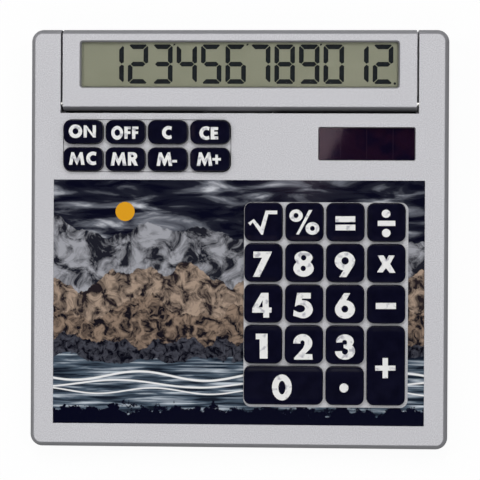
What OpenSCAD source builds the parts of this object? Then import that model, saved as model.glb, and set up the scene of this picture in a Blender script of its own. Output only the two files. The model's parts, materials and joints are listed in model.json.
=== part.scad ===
// Desk calculator: a wedge-shaped body with a tilting display head, a solar cell, a printed
// front panel and a full set of keys over rubber domes and a circuit board.
// Whatever belongs to the sloping face is drawn with that face lying at z = 0 and is then set
// on the slope by on_face(). The underside, its feet and the battery bay are drawn level.

/* [Body] */
// Width of the body
body_w = 140; // [138:1:160]
// Depth of the body along its sloping face
body_d = 140; // [138:1:160]
// Height of the front edge of the face above the desk
front_h = 14; // [14:0.5:20]
// Slope of the face, in degrees
tilt = 5; // [4:0.5:7]
// Radius of the body's upright corners
corner_r = 4; // [3:0.5:5]
// Width of the steep bevel around the face
bevel_w = 1.5; // [0.8:0.1:1.6]
// Height of that bevel
bevel_h = 3.2; // [2.5:0.1:4]
// Rounding between the face and its bevel
edge_r = 0.5; // [0.3:0.1:0.8]
// Thickness of the side walls
wall = 2; // [1.8:0.1:2.2]
// Thickness of the face
face_t = 2; // [1.8:0.1:2.2]
// Depth of the top casing, from the face to the parting line
case_h = 10.2; // [10.2:0.1:11]
// Thickness of the floor
floor_t = 2; // [1.8:0.1:2.4]
// Rounding around the underside
base_r = 1.2; // [0.6:0.1:1.6]
// How far the underside is set in from the walls
base_inset = 0.4; // [0.2:0.1:1]
// Height of the locating lip on the bottom casing
lip_h = 1.2; // [0.8:0.1:1.6]
// Thickness of the locating lip
lip_t = 1; // [0.8:0.1:1.2]

/* [Display head] */
// Width of the body left standing on each side of the head
arm_w = 10.1; // [9.8:0.1:12]
// Front-to-back size of the head
head_d = 27.1; // [26.5:0.1:30]
// Thickness of the head
head_t = 8; // [7.8:0.1:8.2]
// Thickness of the head's back cover
head_back_t = 1.6; // [1.4:0.1:1.8]
// Wall of the head's shells
head_wall = 1.5; // [1.2:0.1:1.6]
// Gap between the head and the body at each side
head_side_gap = 0.7; // [0.3:0.05:0.8]
// Gap in front of the head
head_front_gap = 1; // [0.4:0.05:1]
// Width of the bevel along the head's front edge
head_bevel_w = 1.2; // [0.8:0.1:1.5]
// Gap under the head
head_under_gap = 0.6; // [0.5:0.05:0.8]
// Wall of the well that the head lies in
well_wall = 1.6; // [1.2:0.1:1.8]
// Distance of the hinge line from the head's front edge, and its depth below the face
hinge_in = 2.3; // [2.2:0.1:2.4]
// Diameter of a hinge pin
pin_d = 2; // [1.6:0.1:2.2]
// Length of a hinge pin
pin_len = 8; // [7:0.5:9]
// How deep a hinge pin reaches into the head
pin_depth = 4; // [3:0.5:5]
// Clearance around a hinge pin in the head
pin_clear = 0.05; // [0.02:0.01:0.09]
// Width of the display opening
window_w = 106.2; // [100:0.1:108]
// Front-to-back size of the display opening
window_d = 15.1; // [14:0.1:16]
// From the head's back edge to the display opening
window_back = 4.2; // [3.2:0.1:4.4]
// Corner radius of the display opening
window_r = 0.7; // [0.3:0.1:1.5]
// Width of the bevel around the display opening
window_bevel = 0.45; // [0.2:0.05:0.6]
// Width of the window's hidden border
window_border = 1.4; // [1:0.1:1.6]
// Thickness of the display window
window_t = 1; // [0.8:0.1:1.2]

/* [Keys] */
// Width of a key
key_w = 12.6; // [11.5:0.1:12.8]
// Front-to-back size of a key
key_d = 12.7; // [11.5:0.1:12.8]
// Distance between keys, sideways
key_pitch_x = 13.62; // [13.5:0.01:14.2]
// Distance between keys, front to back
key_pitch_y = 13.6; // [13.5:0.01:14]
// Corner radius of a key
key_corner = 2.3; // [1.5:0.1:3]
// From the right side of the body to the keys
keys_right = 14.4; // [14.4:0.1:16]
// From the front of the body to the keys
keys_front = 15; // [14.5:0.1:16]
// Width of a function key
fn_w = 13.3; // [12.5:0.05:13.5]
// Front-to-back size of a function key
fn_d = 7.9; // [7:0.1:8.2]
// Distance between function keys, sideways
fn_pitch_x = 14.15; // [14.05:0.05:15]
// Distance between function keys, front to back
fn_pitch_y = 9.1; // [8.9:0.1:9.3]
// Corner radius of a function key
fn_corner = 2.6; // [1.5:0.1:3]
// From the left side of the body to the function keys
fn_left = 11.4; // [10.7:0.1:13]
// From the back of the body to the function keys
fn_back = 30.5; // [30.2:0.1:31]
// Margin of the shallow recess around the function keys
fn_margin = 0.15; // [0.1:0.05:0.3]
// Depth of that recess
fn_recess = 0.3; // [0.2:0.05:0.5]
// How far the keys stand above the face
key_rise = 2.4; // [1.5:0.1:3]
// Rounding of a key's top edge
key_edge = 0.5; // [0.4:0.1:1.4]
// Depth of the hollow in a key's top
key_dish = 0.3; // [0.1:0.05:0.4]
// Wall of a key
key_wall = 1.2; // [1:0.1:1.4]
// Clearance around a key in its opening
key_clear = 0.12; // [0.08:0.01:0.16]
// Width of the rim that keeps a key under the face
key_rim = 0.27; // [0.24:0.01:0.3]
// Thickness of that rim
key_rim_t = 0.9; // [0.6:0.1:1]
// How far a key goes down
key_travel = 1.2; // [0.8:0.1:1.4]
// Diameter of the post under a key
key_post_d = 4.4; // [3.6:0.1:5]

/* [Print panel] */
// Margin of the printed panel at the left and right
print_side = 8; // [7:0.1:9]
// Margin of the printed panel at the front
print_front = 8; // [7:0.1:9]
// Front-to-back size of the printed panel
print_d = 81.6; // [78:0.1:82]
// Thickness of the printed panel
print_t = 0.25; // [0.15:0.05:0.4]
// Bare frame left beside and in front of the keys
print_frame = 1; // [0.8:0.1:1.4]
// Bare frame left behind the keys and at their left
print_trim = 0.25; // [0.2:0.05:0.6]
// Clearance around the printed panel
print_clear = 0.05; // [0.03:0.01:0.1]

/* [Solar cell] */
// Width of the solar window
solar_w = 31.9; // [28:0.1:33]
// Front-to-back size of the solar window
solar_d = 10.7; // [10:0.1:11.5]
// From the right side of the body to the solar window
solar_right = 11.4; // [11:0.1:14]
// From the back of the body to the solar window
solar_back = 32.8; // [32.5:0.1:33.5]
// Width of the bevel around the solar window
solar_bevel = 0.25; // [0.1:0.05:0.4]
// Thickness of the solar window
solar_window_t = 1.2; // [0.8:0.1:1.4]
// Clearance around the solar window
solar_clear = 0.1; // [0.05:0.01:0.2]
// Width of the solar cell
cell_w = 35; // [34:0.1:35.5]
// Front-to-back size of the solar cell
cell_d = 13.9; // [13:0.1:14]
// Thickness of the solar cell
cell_t = 1.1; // [0.8:0.1:1.4]

/* [Boards] */
// Depth of the circuit board below the face
pcb_depth = 5.2; // [5:0.1:5.6]
// Thickness of the circuit board
pcb_t = 1.2; // [1:0.1:1.6]
// Thickness of the rubber mat
mat_t = 0.8; // [0.6:0.1:0.9]
// Diameter of a rubber dome at its foot
dome_d = 7; // [6:0.1:7.4]
// Width of the flat cable to the display
flex_w = 22; // [16:1:30]
// Thickness of the flat cable
flex_t = 0.2; // [0.1:0.05:0.3]

/* [Screws and feet] */
// Diameter of a casing screw
case_screw_d = 2.6; // [2.2:0.1:3]
// Diameter of a casing screw's head
case_head_d = 5; // [4.4:0.1:5.2]
// Diameter of a board screw
pcb_screw_d = 1.8; // [1.6:0.1:2]
// Diameter of a head screw
head_screw_d = 1.4; // [1.2:0.1:1.5]
// Clearance left at a screw's thread
thread_gap = 0.02; // [0.01:0.01:0.04]
// Diameter of a rubber foot
foot_d = 10; // [8:0.5:12]
// How far the feet stand out
foot_h = 1; // [0.6:0.1:1.4]
// Depth of a foot's recess
foot_recess = 0.6; // [0.4:0.1:1]
// From the sides of the body to the feet's centres
foot_side = 16; // [14:0.5:20]
// From the front and back of the body to the feet's centres
foot_end = 13; // [12:0.5:16]

/* [Battery] */
// Diameter of the button cell
button_d = 11.6; // [9.5:0.1:12]
// Height of the button cell
button_h = 3.05; // [2.1:0.05:3.2]
// From the back of the body to the button cell's centre
button_back = 32; // [31:0.5:36]
// Width of the battery door
door_w = 20; // [18:0.5:24]
// Front-to-back size of the battery door
door_l = 22; // [20:0.5:26]
// Thickness of the battery door
door_t = 1.2; // [1:0.1:1.3]
// How far the battery door slides before it lifts off
door_travel = 5.5; // [5.2:0.1:7]
// Clearance around the battery door
door_clear = 0.2; // [0.1:0.05:0.3]

/* [Hidden] */
$fn = 48;
eps = 0.01;
far = 60;             // longer than the body is high
fit = 0.1;            // slack around a piece that only has to drop in
hw = body_w / 2;
hd = body_d / 2;

// Place of the sloping face: its middle lies at height face_z0, face_y0 back from the origin.
face_z0 = front_h + hd * sin(tilt);
base_step = 1.5;      // height of the set-in base below the walls
base_top = foot_h + base_step;
floor_top = foot_h + floor_t;
// Depth under the face, at v along it, of the level plane at height z
function depth_at(v, z) = (z - face_z0 - v * sin(tilt)) / cos(tilt);
y_front = -hd * cos(tilt) + bevel_h * sin(tilt);
y_back = hd * cos(tilt) - depth_at(hd, base_top) * sin(tilt);
face_y0 = -(y_front + y_back) / 2;
function level_y(v, w) = face_y0 + v * cos(tilt) - w * sin(tilt);
function level_z(v, w) = face_z0 + v * sin(tilt) + w * cos(tilt);

// Keys: name, column, row, columns wide, rows deep. Rows count from the front.
main_keys = [
    ["key_0", 0, 0, 2, 1], ["key_point", 2, 0, 1, 1], ["key_plus", 3, 0, 1, 2],
    ["key_1", 0, 1, 1, 1], ["key_2", 1, 1, 1, 1], ["key_3", 2, 1, 1, 1],
    ["key_4", 0, 2, 1, 1], ["key_5", 1, 2, 1, 1], ["key_6", 2, 2, 1, 1], ["key_minus", 3, 2, 1, 1],
    ["key_7", 0, 3, 1, 1], ["key_8", 1, 3, 1, 1], ["key_9", 2, 3, 1, 1], ["key_multiply", 3, 3, 1, 1],
    ["key_root", 0, 4, 1, 1], ["key_percent", 1, 4, 1, 1],
    ["key_equals", 2, 4, 1, 1], ["key_divide", 3, 4, 1, 1],
];
fn_keys = [
    ["key_mc", 0, 0, 1, 1], ["key_mr", 1, 0, 1, 1], ["key_m_minus", 2, 0, 1, 1], ["key_m_plus", 3, 0, 1, 1],
    ["key_on", 0, 1, 1, 1], ["key_off", 1, 1, 1, 1], ["key_c", 2, 1, 1, 1], ["key_ce", 3, 1, 1, 1],
];
columns = 4;
main_rows = 5;
fn_rows = 2;

// Edges of the two key blocks
keys_x1 = hw - keys_right;
keys_x0 = keys_x1 - (columns - 1) * key_pitch_x - key_w;
keys_y0 = keys_front - hd;
keys_y1 = keys_y0 + (main_rows - 1) * key_pitch_y + key_d;
fn_x0 = fn_left - hw;
fn_x1 = fn_x0 + (columns - 1) * fn_pitch_x + fn_w;
fn_y1 = hd - fn_back;
fn_y0 = fn_y1 - (fn_rows - 1) * fn_pitch_y - fn_d;

// Size and centre of one key
function main_size(k) = [key_w + (k[3] - 1) * key_pitch_x, key_d + (k[4] - 1) * key_pitch_y];
function main_at(k) = [keys_x0 + k[1] * key_pitch_x, keys_y0 + k[2] * key_pitch_y] + main_size(k) / 2;
function fn_size(k) = [fn_w, fn_d];
function fn_at(k) = [fn_x0 + k[1] * fn_pitch_x, fn_y0 + k[2] * fn_pitch_y] + fn_size(k) / 2;
rest_gap = 0.05;      // between a key's rim and the face above it
key_foot = face_t + rest_gap + key_rim_t;   // depth of a key's lower edge
post_foot = key_foot + 2 * rest_gap;        // depth of its post's end
dish_margin = 0.3;    // flat rim left around a key's hollow

// Head and its well
head_w = body_w - 2 * arm_w - 2 * head_side_gap;
head_y1 = hd;
head_y0 = hd - head_d;
notch_w = head_w + 2 * head_side_gap;
notch_y0 = head_y0 - head_front_gap;
notch_h = head_t + head_under_gap;
cover_h = head_t - head_back_t;
hinge_y = head_y0 + hinge_in;
ear_len = 7;          // solid ends of the head that the hinge pins run in
ear_d = 5;
window_y = head_y1 - window_back - window_d / 2;
seal_t = 0.4;
glass_t = 0.9;        // each of the display's two panes
film_t = 0.2;
foam_t = 0.6;
display_board_t = cover_h - head_wall - window_t - seal_t - 2 * glass_t - film_t - foam_t;
seal_z = head_wall + window_t;
glass_z = seal_z + seal_t;
film_z = glass_z + 2 * glass_t;
foam_z = film_z + film_t;
display_board_z = foam_z + foam_t;
display_w = window_w + 2.6;
display_y1 = window_y + window_d / 2 + window_border;
display_y0 = head_y0 + ear_d + fit;
ledge = 2.2;          // strip of the front pane that carries the display's contacts
head_screw_x = head_w / 2 - 2.6;
head_screw_y = [head_y0 + 4.1, head_y1 - 4.5];
head_boss_d = 3.4;
pin_block = 4.8;      // blocks that hold the hinge pins in the body

// Board, its screws and the casing screws
pcb_under = pcb_depth + pcb_t;
boss_off = 3.3;
boss_d = 4.5;
pcb_margin = 2.7;
pcb_x0 = keys_x0 - boss_off - pcb_margin;
pcb_x1 = keys_x1 + boss_off + pcb_margin;
pcb_y0 = keys_y0 - boss_off - pcb_margin;
pcb_y1 = notch_y0 - well_wall - 0.5;
pcb_wing_x0 = fn_x0 - 2.3;
pcb_wing_y0 = fn_y0 - boss_off - pcb_margin;
pcb_bosses = [
    [keys_x0 + key_w / 2, keys_y0 - boss_off], [keys_x1 - key_w / 2, keys_y0 - boss_off],
    [keys_x0 + key_w / 2, keys_y1 + boss_off], [keys_x1 - key_w / 2, keys_y1 + boss_off],
    [keys_x0 - boss_off, (keys_y0 + keys_y1) / 2], [keys_x1 + boss_off, (keys_y0 + keys_y1) / 2],
    [fn_x0 + fn_w / 2, fn_y0 - boss_off], [fn_x1 - fn_w / 2, fn_y0 - boss_off],
    [fn_x1 + boss_off, (fn_y0 + fn_y1) / 2],
];
case_boss_d = 6;
arm_mid = hw - wall - case_boss_d / 2 - 0.1;
case_bosses = [for (s = [-1, 1]) each [
    [s * (hw - wall - 3.8), wall + 3.8 - hd], [s * arm_mid, 8], [s * arm_mid, hd - 12]]];
seat_t = 1.6;         // floor of a casing screw's counterbore
case_head_h = 1.4;
case_screw_len = 8;
pcb_head_h = 0.9;
pcb_screw_len = 4;
head_head_h = 0.7;
head_screw_len = 3;

// Rubber mats
mat_z = pcb_depth - mat_t;
mat_edge = 0.9;
dome_wall = 0.7;

// Battery bay, drawn level with the origin under the body's middle
button_y = level_y(hd - button_back, -case_h);
bay = button_d + 4.4;                       // inner width of the bay
bay_wall = 1.5;
door_rib = 0.3;
door_rib_x = [-4, 3];
grip_l = 9;           // three grip grooves across the door
grip_d = 0.35;
grip_pitch = 1.6;
door_z = foot_h + 0.1;
track_top = door_z + door_t + 0.2;
pad_top = track_top + 1.9;
button_z = door_z + door_t + door_rib + 0.1;
bay_top = button_z + button_h + 1.45;       // underside of the bay's roof
strip_t = 0.3;                              // contact strip
tail_w = 1.5;
tail_x = [button_d / 2 + strip_t / 2, -button_d / 2 + 1.4];   // solder tails: positive, negative
tongue_w = 1;
tongue_l = 4;
tongue_t = 0.6;
tongue_y = [1, door_l - tongue_l - 6];
tail_top = bay_top + bay_wall + 1.2;

// Routes of the leads: x and y in millimetres, and the share of the climb made so far
lead_d = 1;
battery_run = [[0, 0, 0], [0, -0.6, 0.2], [0.5, -2, 0.4], [1, -4, 0.6], [1.2, -6, 0.7], [1.2, -6.6, 0.85],
    [1.2, -6.6, 1]];
solar_lead_d = 0.8;
solar_run = [[0, 0, 0], [0, 0, 0.25], [-0.8, -0.5, 0.5], [-1.6, -1, 0.65], [-1.8, -1.2, 0.8],
    [-1.8, -1.2, 1]];

silver = "#c4c4c7";
gloss_black = "#121122";

// ---- shared shapes ----

module on_face() {
    translate([0, face_y0, face_z0]) rotate([tilt, 0, 0]) children();
}

function arc(x, y, r, from, to, steps = 6) =
    [for (i = [0:steps]) let (a = from + (to - from) * i / steps) [x + r * cos(a), y + r * sin(a)]];

function rounded(w, d, r) = concat(
    arc(w / 2 - r, d / 2 - r, r, 0, 90), arc(r - w / 2, d / 2 - r, r, 90, 180),
    arc(r - w / 2, r - d / 2, r, 180, 270), arc(w / 2 - r, r - d / 2, r, 270, 360));

// Upright prism with round corners: its top lies at -top and it is h deep
module slab(size, top, h, r) {
    translate([0, 0, -top - h]) linear_extrude(h) polygon(rounded(size[0], size[1], r));
}

// Box from one corner to the opposite one, given as x, y and depth below the face
module box(x0, y0, top, x1, y1, bottom) {
    translate([x0, y0, -bottom]) cube([x1 - x0, y1 - y0, bottom - top]);
}

// Side of a plate in section, from its foot to its top: upright, bevelled if bevel says how far
// across and down, and rounded into the top
function side(half, h, r, bevel) = let (slope = bevel[1] > 0 ? atan2(bevel[1], bevel[0]) : 90)
    concat([[half, -h]], bevel[1] > 0 ? [[half, -bevel[1]]] : [],
        r > 0 ? arc(half - bevel[0] - r * tan(slope / 2), -r, r, 90 - slope, 90) : [[half - bevel[0], 0]]);
function half_section(half, h, r, bevel) = concat([[0, -h]], side(half, h, r, bevel), [[0, 0]]);

// Section from side to side, with a bevel of its own at the front if front_bevel gives one
function section(half, h, r, bevel, front_bevel) = let (
        back = side(half, h, r, bevel),
        front = is_undef(front_bevel) ? back : side(half, h, r, front_bevel))
    concat(back, [for (i = [len(front) - 1:-1:0]) [-front[i][0], front[i][1]]]);

// Plate with round corners, its top at z = 0
module plate(w, d, h, corner, edge, bevel = [0, 0]) {
    translate([corner - w / 2, 0, 0]) rotate([90, 0, 90])
        linear_extrude(w - 2 * corner) polygon(section(d / 2, h, edge, bevel));
    for (turn = [0, 180]) rotate(turn) {
        translate([w / 2 - corner, d / 2 - corner, 0]) rotate([90, 0, 0])
            linear_extrude(d - 2 * corner) polygon(half_section(corner, h, edge, bevel));
        translate([w / 2 - corner, d / 2 - corner, 0])
            rotate_extrude(angle = 90) polygon(half_section(corner, h, edge, bevel));
        translate([corner - w / 2, d / 2 - corner, 0]) rotate(90)
            rotate_extrude(angle = 90) polygon(half_section(corner, h, edge, bevel));
    }
}

// Opening through a wall, with round corners and a bevel that widens it towards the face
module opening(size, depth, corner, bevel) {
    land = 0.3;
    deeper = 1.1;         // the bevelled cut runs a little into the upright one
    cut = [bevel, depth - land] * deeper;
    slab(size, -eps, depth + 2 * eps, corner);
    translate([0, 0, -cut[1]]) mirror([0, 0, 1])
        plate(size[0] + 2 * bevel, size[1] + 2 * bevel, cut[1] + 0.5, corner + bevel, 0, cut);
}

// Round wire along points, as one swept solid
module wire(points, d) {
    sides = 8;
    last = len(points) - 1;
    function along(i) = let (v = points[min(i + 1, last)] - points[max(i - 1, 0)]) v / norm(v);
    function across(i) = let (v = cross(along(i), [1, 0.2, 0.1])) v / norm(v);
    ring = [for (i = [0:last]) let (n = across(i), b = cross(along(i), n))
        each [for (k = [0:sides - 1]) let (a = 360 * k / sides)
            points[i] + d / 2 * (cos(a) * n + sin(a) * b)]];
    walls = [for (i = [0:last - 1]) each [for (k = [0:sides - 1]) let (m = (k + 1) % sides)
        [i * sides + k, i * sides + m, (i + 1) * sides + m, (i + 1) * sides + k]]];
    ends = [[for (k = [sides - 1:-1:0]) k], [for (k = [0:sides - 1]) last * sides + k]];
    polyhedron(ring, concat([for (f = walls) [f[3], f[2], f[1], f[0]]],
        [for (f = ends) [for (k = [sides - 1:-1:0]) f[k]]]), convexity = 4);
}

// Keeps what lies above a level height
module above(z) {
    difference() {
        children();
        translate([-body_w, -body_d, z - far]) cube([2 * body_w, 2 * body_d, far]);
    }
}

// ---- body ----

module key_openings() {
    for (k = main_keys)
        translate(main_at(k)) slab(main_size(k) + 2 * [key_clear, key_clear], -eps, face_t + 2 * eps,
            key_corner + key_clear);
    for (k = fn_keys)
        translate(fn_at(k)) slab(fn_size(k) + 2 * [key_clear, key_clear], -eps, face_t + 2 * eps,
            fn_corner + key_clear);
}

// Outline of the printed panel, grown by gap, with the window left for the keys
module print_outline(gap) {
    w = body_w - 2 * print_side + 2 * gap;
    y0 = print_front - hd - gap;
    cut_x0 = keys_x0 - print_trim + gap;
    cut_x1 = keys_x1 + print_frame - gap;
    cut_y0 = keys_y0 - print_frame + gap;
    cut_y1 = keys_y1 + print_trim - gap;
    difference() {
        translate([-w / 2, y0]) square([w, print_d + 2 * gap]);
        translate([(cut_x0 + cut_x1) / 2, (cut_y0 + cut_y1) / 2])
            polygon(rounded(cut_x1 - cut_x0, cut_y1 - cut_y0, key_corner + print_trim));
    }
}

solar_r = 0.4;
solar_at = [hw - solar_right - solar_w / 2, hd - solar_back - solar_d / 2];

module top_case() color(silver) on_face() difference() {
    rib = 1;
    cell_gap = 0.2;
    union() {
        difference() {
            plate(body_w, body_d, case_h, corner_r, edge_r, [bevel_w, bevel_h]);
            slab([body_w - 2 * wall, body_d - 2 * wall], face_t, case_h, corner_r - wall);
        }
        box(-notch_w / 2 - well_wall, notch_y0 - well_wall, face_t / 2,
            notch_w / 2 + well_wall, hd - wall / 2, case_h);
        for (p = pcb_bosses)
            translate([p[0], p[1], -pcb_depth]) cylinder(d = boss_d, h = pcb_depth - face_t / 2);
        for (p = case_bosses)
            translate([p[0], p[1], -case_h]) cylinder(d = case_boss_d, h = case_h - face_t / 2);
        for (s = [-1, 1])
            translate([(s * (notch_w + pin_block) - pin_block) / 2, hinge_y - pin_block / 2, -pin_block])
                cube([pin_block, pin_block, pin_block - face_t / 2]);
        translate(solar_at) difference() {
            slab([cell_w + 2 * rib, cell_d + 2 * rib], face_t / 2, cell_t + 0.5 + face_t / 2, 1);
            slab([cell_w + 2 * cell_gap, cell_d + 2 * cell_gap], face_t, far, 0.2);
        }
    }
    box(-notch_w / 2, notch_y0, -1, notch_w / 2, hd + 1, notch_h);
    key_openings();
    translate([(fn_x0 + fn_x1) / 2, (fn_y0 + fn_y1) / 2, 0])
        slab([fn_x1 - fn_x0, fn_y1 - fn_y0] + 2 * [fn_margin, fn_margin], -eps, fn_recess + eps,
            fn_corner + fn_margin);
    translate([0, 0, -print_t]) linear_extrude(1) print_outline(print_clear);
    translate(solar_at) opening([solar_w, solar_d], face_t, solar_r, solar_bevel);
    for (p = pcb_bosses)
        translate([p[0], p[1], -pcb_depth - eps])
            cylinder(d = pcb_screw_d + 2 * thread_gap, h = pcb_depth - face_t + 0.6);
    for (p = case_bosses)
        translate([p[0], p[1], -case_h - eps])
            cylinder(d = case_screw_d + 2 * thread_gap, h = case_screw_len - 1);
    for (s = [-1, 1]) translate([s * (notch_w / 2 - 1), hinge_y, -hinge_in])
        rotate([0, s * 90, 0]) cylinder(d = pin_d + 2 * thread_gap, h = pin_len);
    box(-flex_w / 2 - 1, notch_y0 - well_wall - 1, pcb_under - 0.4,
        flex_w / 2 + 1, notch_y0 + 1, pcb_under + 0.6);
}

// Track of the battery door, seen from below: the slot that the door slides in, the grooves
// over its tongues and the notches through which they lift out
module door_track() {
    y0 = button_y - door_l / 2;
    half = door_w / 2 + door_clear;
    reach = half + tongue_w;
    h = track_top - foot_h + eps;
    translate([-half, y0 - door_clear, foot_h - eps])
        cube([2 * half, door_l + door_travel + 2 * door_clear, h]);
    for (t = tongue_y) {
        translate([-reach, y0 + t - door_clear, track_top - tongue_t - 2 * door_clear])
            cube([2 * reach, tongue_l + door_travel + 2 * door_clear, tongue_t + 2 * door_clear]);
        translate([-reach, y0 + t + door_travel - door_clear, foot_h - eps])
            cube([2 * reach, tongue_l + 2 * door_clear, h]);
    }
}

module bottom_case() color("#b2b2b6") difference() {
    pad = door_w / 2 + tongue_w + 2.2;
    bay_out = bay / 2 + bay_wall;
    base_y0 = level_y(-hd, depth_at(-hd, base_top)) + base_inset;
    base_y1 = level_y(hd, depth_at(hd, base_top)) - base_inset;
    union() {
        difference() {
            above(base_top) on_face() slab([body_w, body_d], case_h, far, corner_r);
            above(floor_top) on_face()
                slab([body_w - 2 * wall, body_d - 2 * wall], case_h - 1, far, corner_r - wall);
        }
        translate([0, (base_y0 + base_y1) / 2, foot_h]) mirror([0, 0, 1])
            plate(body_w - 2 * base_inset, base_y1 - base_y0, floor_t, corner_r - base_inset, base_r);
        above(base_top) on_face() for (p = case_bosses)
            translate([p[0], p[1], -case_h - far]) cylinder(d = case_head_d + 3.4, h = far);
        on_face() difference() {
            union() {
                slab([body_w - 2 * (wall + fit), body_d - 2 * (wall + fit)], case_h - lip_h, lip_h + 0.5,
                    corner_r - wall - fit);
                slab([body_w - wall, body_d - wall], case_h, 0.9, corner_r - wall / 2);
            }
            slab([body_w - 2 * (wall + lip_t + fit), body_d - 2 * (wall + lip_t + fit)], 0, far, 0.6);
            for (p = case_bosses) translate([p[0], p[1], -case_h]) cylinder(d = case_boss_d + 0.6, h = far);
            box(-notch_w / 2 - well_wall - 0.3, notch_y0 - well_wall - 0.3, 0,
                notch_w / 2 + well_wall + 0.3, hd, case_h);
        }
        translate([-pad, button_y - door_l / 2 - 2, floor_top - 0.5])
            cube([2 * pad, door_l + door_travel + 4.4, pad_top - floor_top + 0.5]);
        translate([-bay_out, button_y - bay_out, floor_top])
            cube([2 * bay_out, 2 * bay_out, bay_top + bay_wall - floor_top]);
    }
    translate([-bay / 2, button_y - bay / 2, foot_h]) cube([bay, bay, bay_top - foot_h]);
    door_track();
    for (x = tail_x)
        translate([x - strip_t / 2 - fit, button_y - tail_w / 2 - fit, bay_top - eps])
            cube([strip_t + 2 * fit, tail_w + 2 * fit, far]);
    on_face() for (p = case_bosses) translate([p[0], p[1], -case_h - far]) {
        cylinder(d = case_screw_d + 0.4, h = far + eps);
        cylinder(d = case_head_d + 0.8, h = far - seat_t);
    }
    for (p = feet) translate([p[0], p[1], foot_h - eps]) cylinder(d = foot_d, h = foot_recess + eps);
}

module print_panel() color("#4a4c52") on_face()
    translate([0, 0, -print_t]) linear_extrude(print_t) print_outline(0);

module solar_window() color("#160a1e") on_face() translate(solar_at)
    slab([solar_w, solar_d] - 2 * [solar_clear, solar_clear], face_t - solar_window_t, solar_window_t,
        solar_r - solar_clear);

module solar_cell() color("#2a1a30") on_face() translate(solar_at)
    slab([cell_w, cell_d], face_t, cell_t, 0.1);

module solar_wires() color("#b02020") on_face() {
    drop = pcb_depth - face_t - cell_t;
    for (s = [-1, 1]) translate([solar_at[0] + s * (cell_w / 2 - 3), solar_at[1], -face_t - cell_t])
        wire([for (p = solar_run) [p[0], p[1], -p[2] * drop]], solar_lead_d);
}

// ---- boards ----

module board_outline() {
    translate([pcb_x0, pcb_y0]) square([pcb_x1 - pcb_x0, pcb_y1 - pcb_y0]);
    translate([pcb_wing_x0, pcb_wing_y0]) square([pcb_x0 - pcb_wing_x0 + 1, pcb_y1 - pcb_wing_y0]);
}

module main_board() color("#1d6b3a") on_face() difference() {
    translate([0, 0, -pcb_under]) linear_extrude(pcb_t) board_outline();
    for (p = pcb_bosses) translate([p[0], p[1], -far]) cylinder(d = pcb_screw_d + 0.3, h = far);
}

// Chip, its drop of resin and the resistors beside it
chip_in = [33, 9];    // from the corner of the function keys
chip_at = [fn_x0, fn_y0] + chip_in;
resin_d = 13.8;
resin_h = 1.6;
resistor_in = 10;     // from the chip's centre
resistor_pitch = 3.2;

// Drop of black resin over the bare chip
module calculator_chip() color("#17171a") on_face() translate([chip_at[0], chip_at[1], -pcb_under])
    intersection() {
        ball = resin_d * resin_d / 8 / resin_h + resin_h / 2;
        translate([0, 0, ball - resin_h]) sphere(r = ball, $fn = 96);
        translate([-resin_d, -resin_d, -2 * resin_h]) cube([2 * resin_d, 2 * resin_d, 2 * resin_h]);
    }

// Capacitor standing on its two legs
module capacitor() color("#2b3a6b") on_face() translate([fn_x1 + 14, fn_y0 - 2, -pcb_under]) {
    can_h = 6;
    leg_h = 0.6;
    translate([0, 0, 0.1 - leg_h - can_h]) cylinder(d = 5, h = can_h);
    for (s = [-1, 1]) translate([s, 0, -leg_h]) cylinder(d = 0.5, h = leg_h);
}

// Row of resistors beside the chip
module resistors() color("#222226") on_face() {
    size = [1.6, 3.2, 0.55];
    for (i = [0:3]) translate([chip_at[0] + resistor_in + resistor_pitch * i, chip_at[1] - size[1] / 2,
            -pcb_under - size[2]])
        cube(size);
}

// Sheet of rubber with a hollow dome under each key
module dome_sheet(x0, y0, x1, y1, centres) {
    dome_h = mat_z - post_foot;
    difference() {
        union() {
            box(x0, y0, mat_z, x1, y1, pcb_depth);
            for (p = centres)
                translate([p[0], p[1], -mat_z]) cylinder(d1 = dome_d, d2 = key_post_d, h = dome_h);
        }
        for (p = centres) translate([p[0], p[1], -pcb_depth - eps])
            cylinder(d1 = dome_d - 2 * dome_wall, d2 = key_post_d - 2 * dome_wall,
                h = dome_h + mat_t - 0.5);
    }
}

module keypad_mat() color("#d8d8d4") on_face()
    dome_sheet(keys_x0 - mat_edge, keys_y0 - mat_edge, keys_x1 + mat_edge, keys_y1 + mat_edge,
        [for (k = main_keys) main_at(k)]);

module function_mat() color("#d8d8d4") on_face()
    dome_sheet(fn_x0 - mat_edge, fn_y0 - mat_edge, fn_x1 + mat_edge, fn_y1 + 0.4,
        [for (k = fn_keys) fn_at(k)]);

// Flat cable from under the main board, through the hinge line, to under the display's board
module display_cable() color("#c8a24a") on_face()
    box(-flex_w / 2, pcb_y1 - 4, pcb_under, flex_w / 2, display_y0 + 3, pcb_under + flex_t);

// ---- battery ----

module button_cell() color("#b9bcc0") translate([0, button_y, button_z]) {
    step = 0.6;
    cylinder(d = button_d, h = button_h - step);
    cylinder(d = button_d - 2, h = button_h);
}

// Upright strip that presses on the side of the cell, with its solder tail through the roof
module positive_contact() color("#c9b37a") translate([button_d / 2, button_y, 0]) {
    translate([0, -3, button_z + 0.4]) cube([strip_t, 6, bay_top - button_z - 0.4]);
    translate([0, -tail_w / 2, bay_top - eps]) cube([strip_t, tail_w, tail_top - bay_top]);
    translate([0, -3, bay_top - strip_t]) cube([1.8, 6, strip_t]);
}

// Stepped leaf that presses on top of the cell
module negative_contact() color("#c9b37a") translate([0, button_y, 0]) {
    x = tail_x[1] - strip_t / 2;
    top = button_z + button_h;
    translate([x, -2.5, top]) cube([4 - x, 5, strip_t]);
    translate([x, -2.5, top]) cube([strip_t, 5, bay_top - top]);
    translate([x, -tail_w / 2, bay_top - eps]) cube([strip_t, tail_w, tail_top - bay_top]);
}

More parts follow.
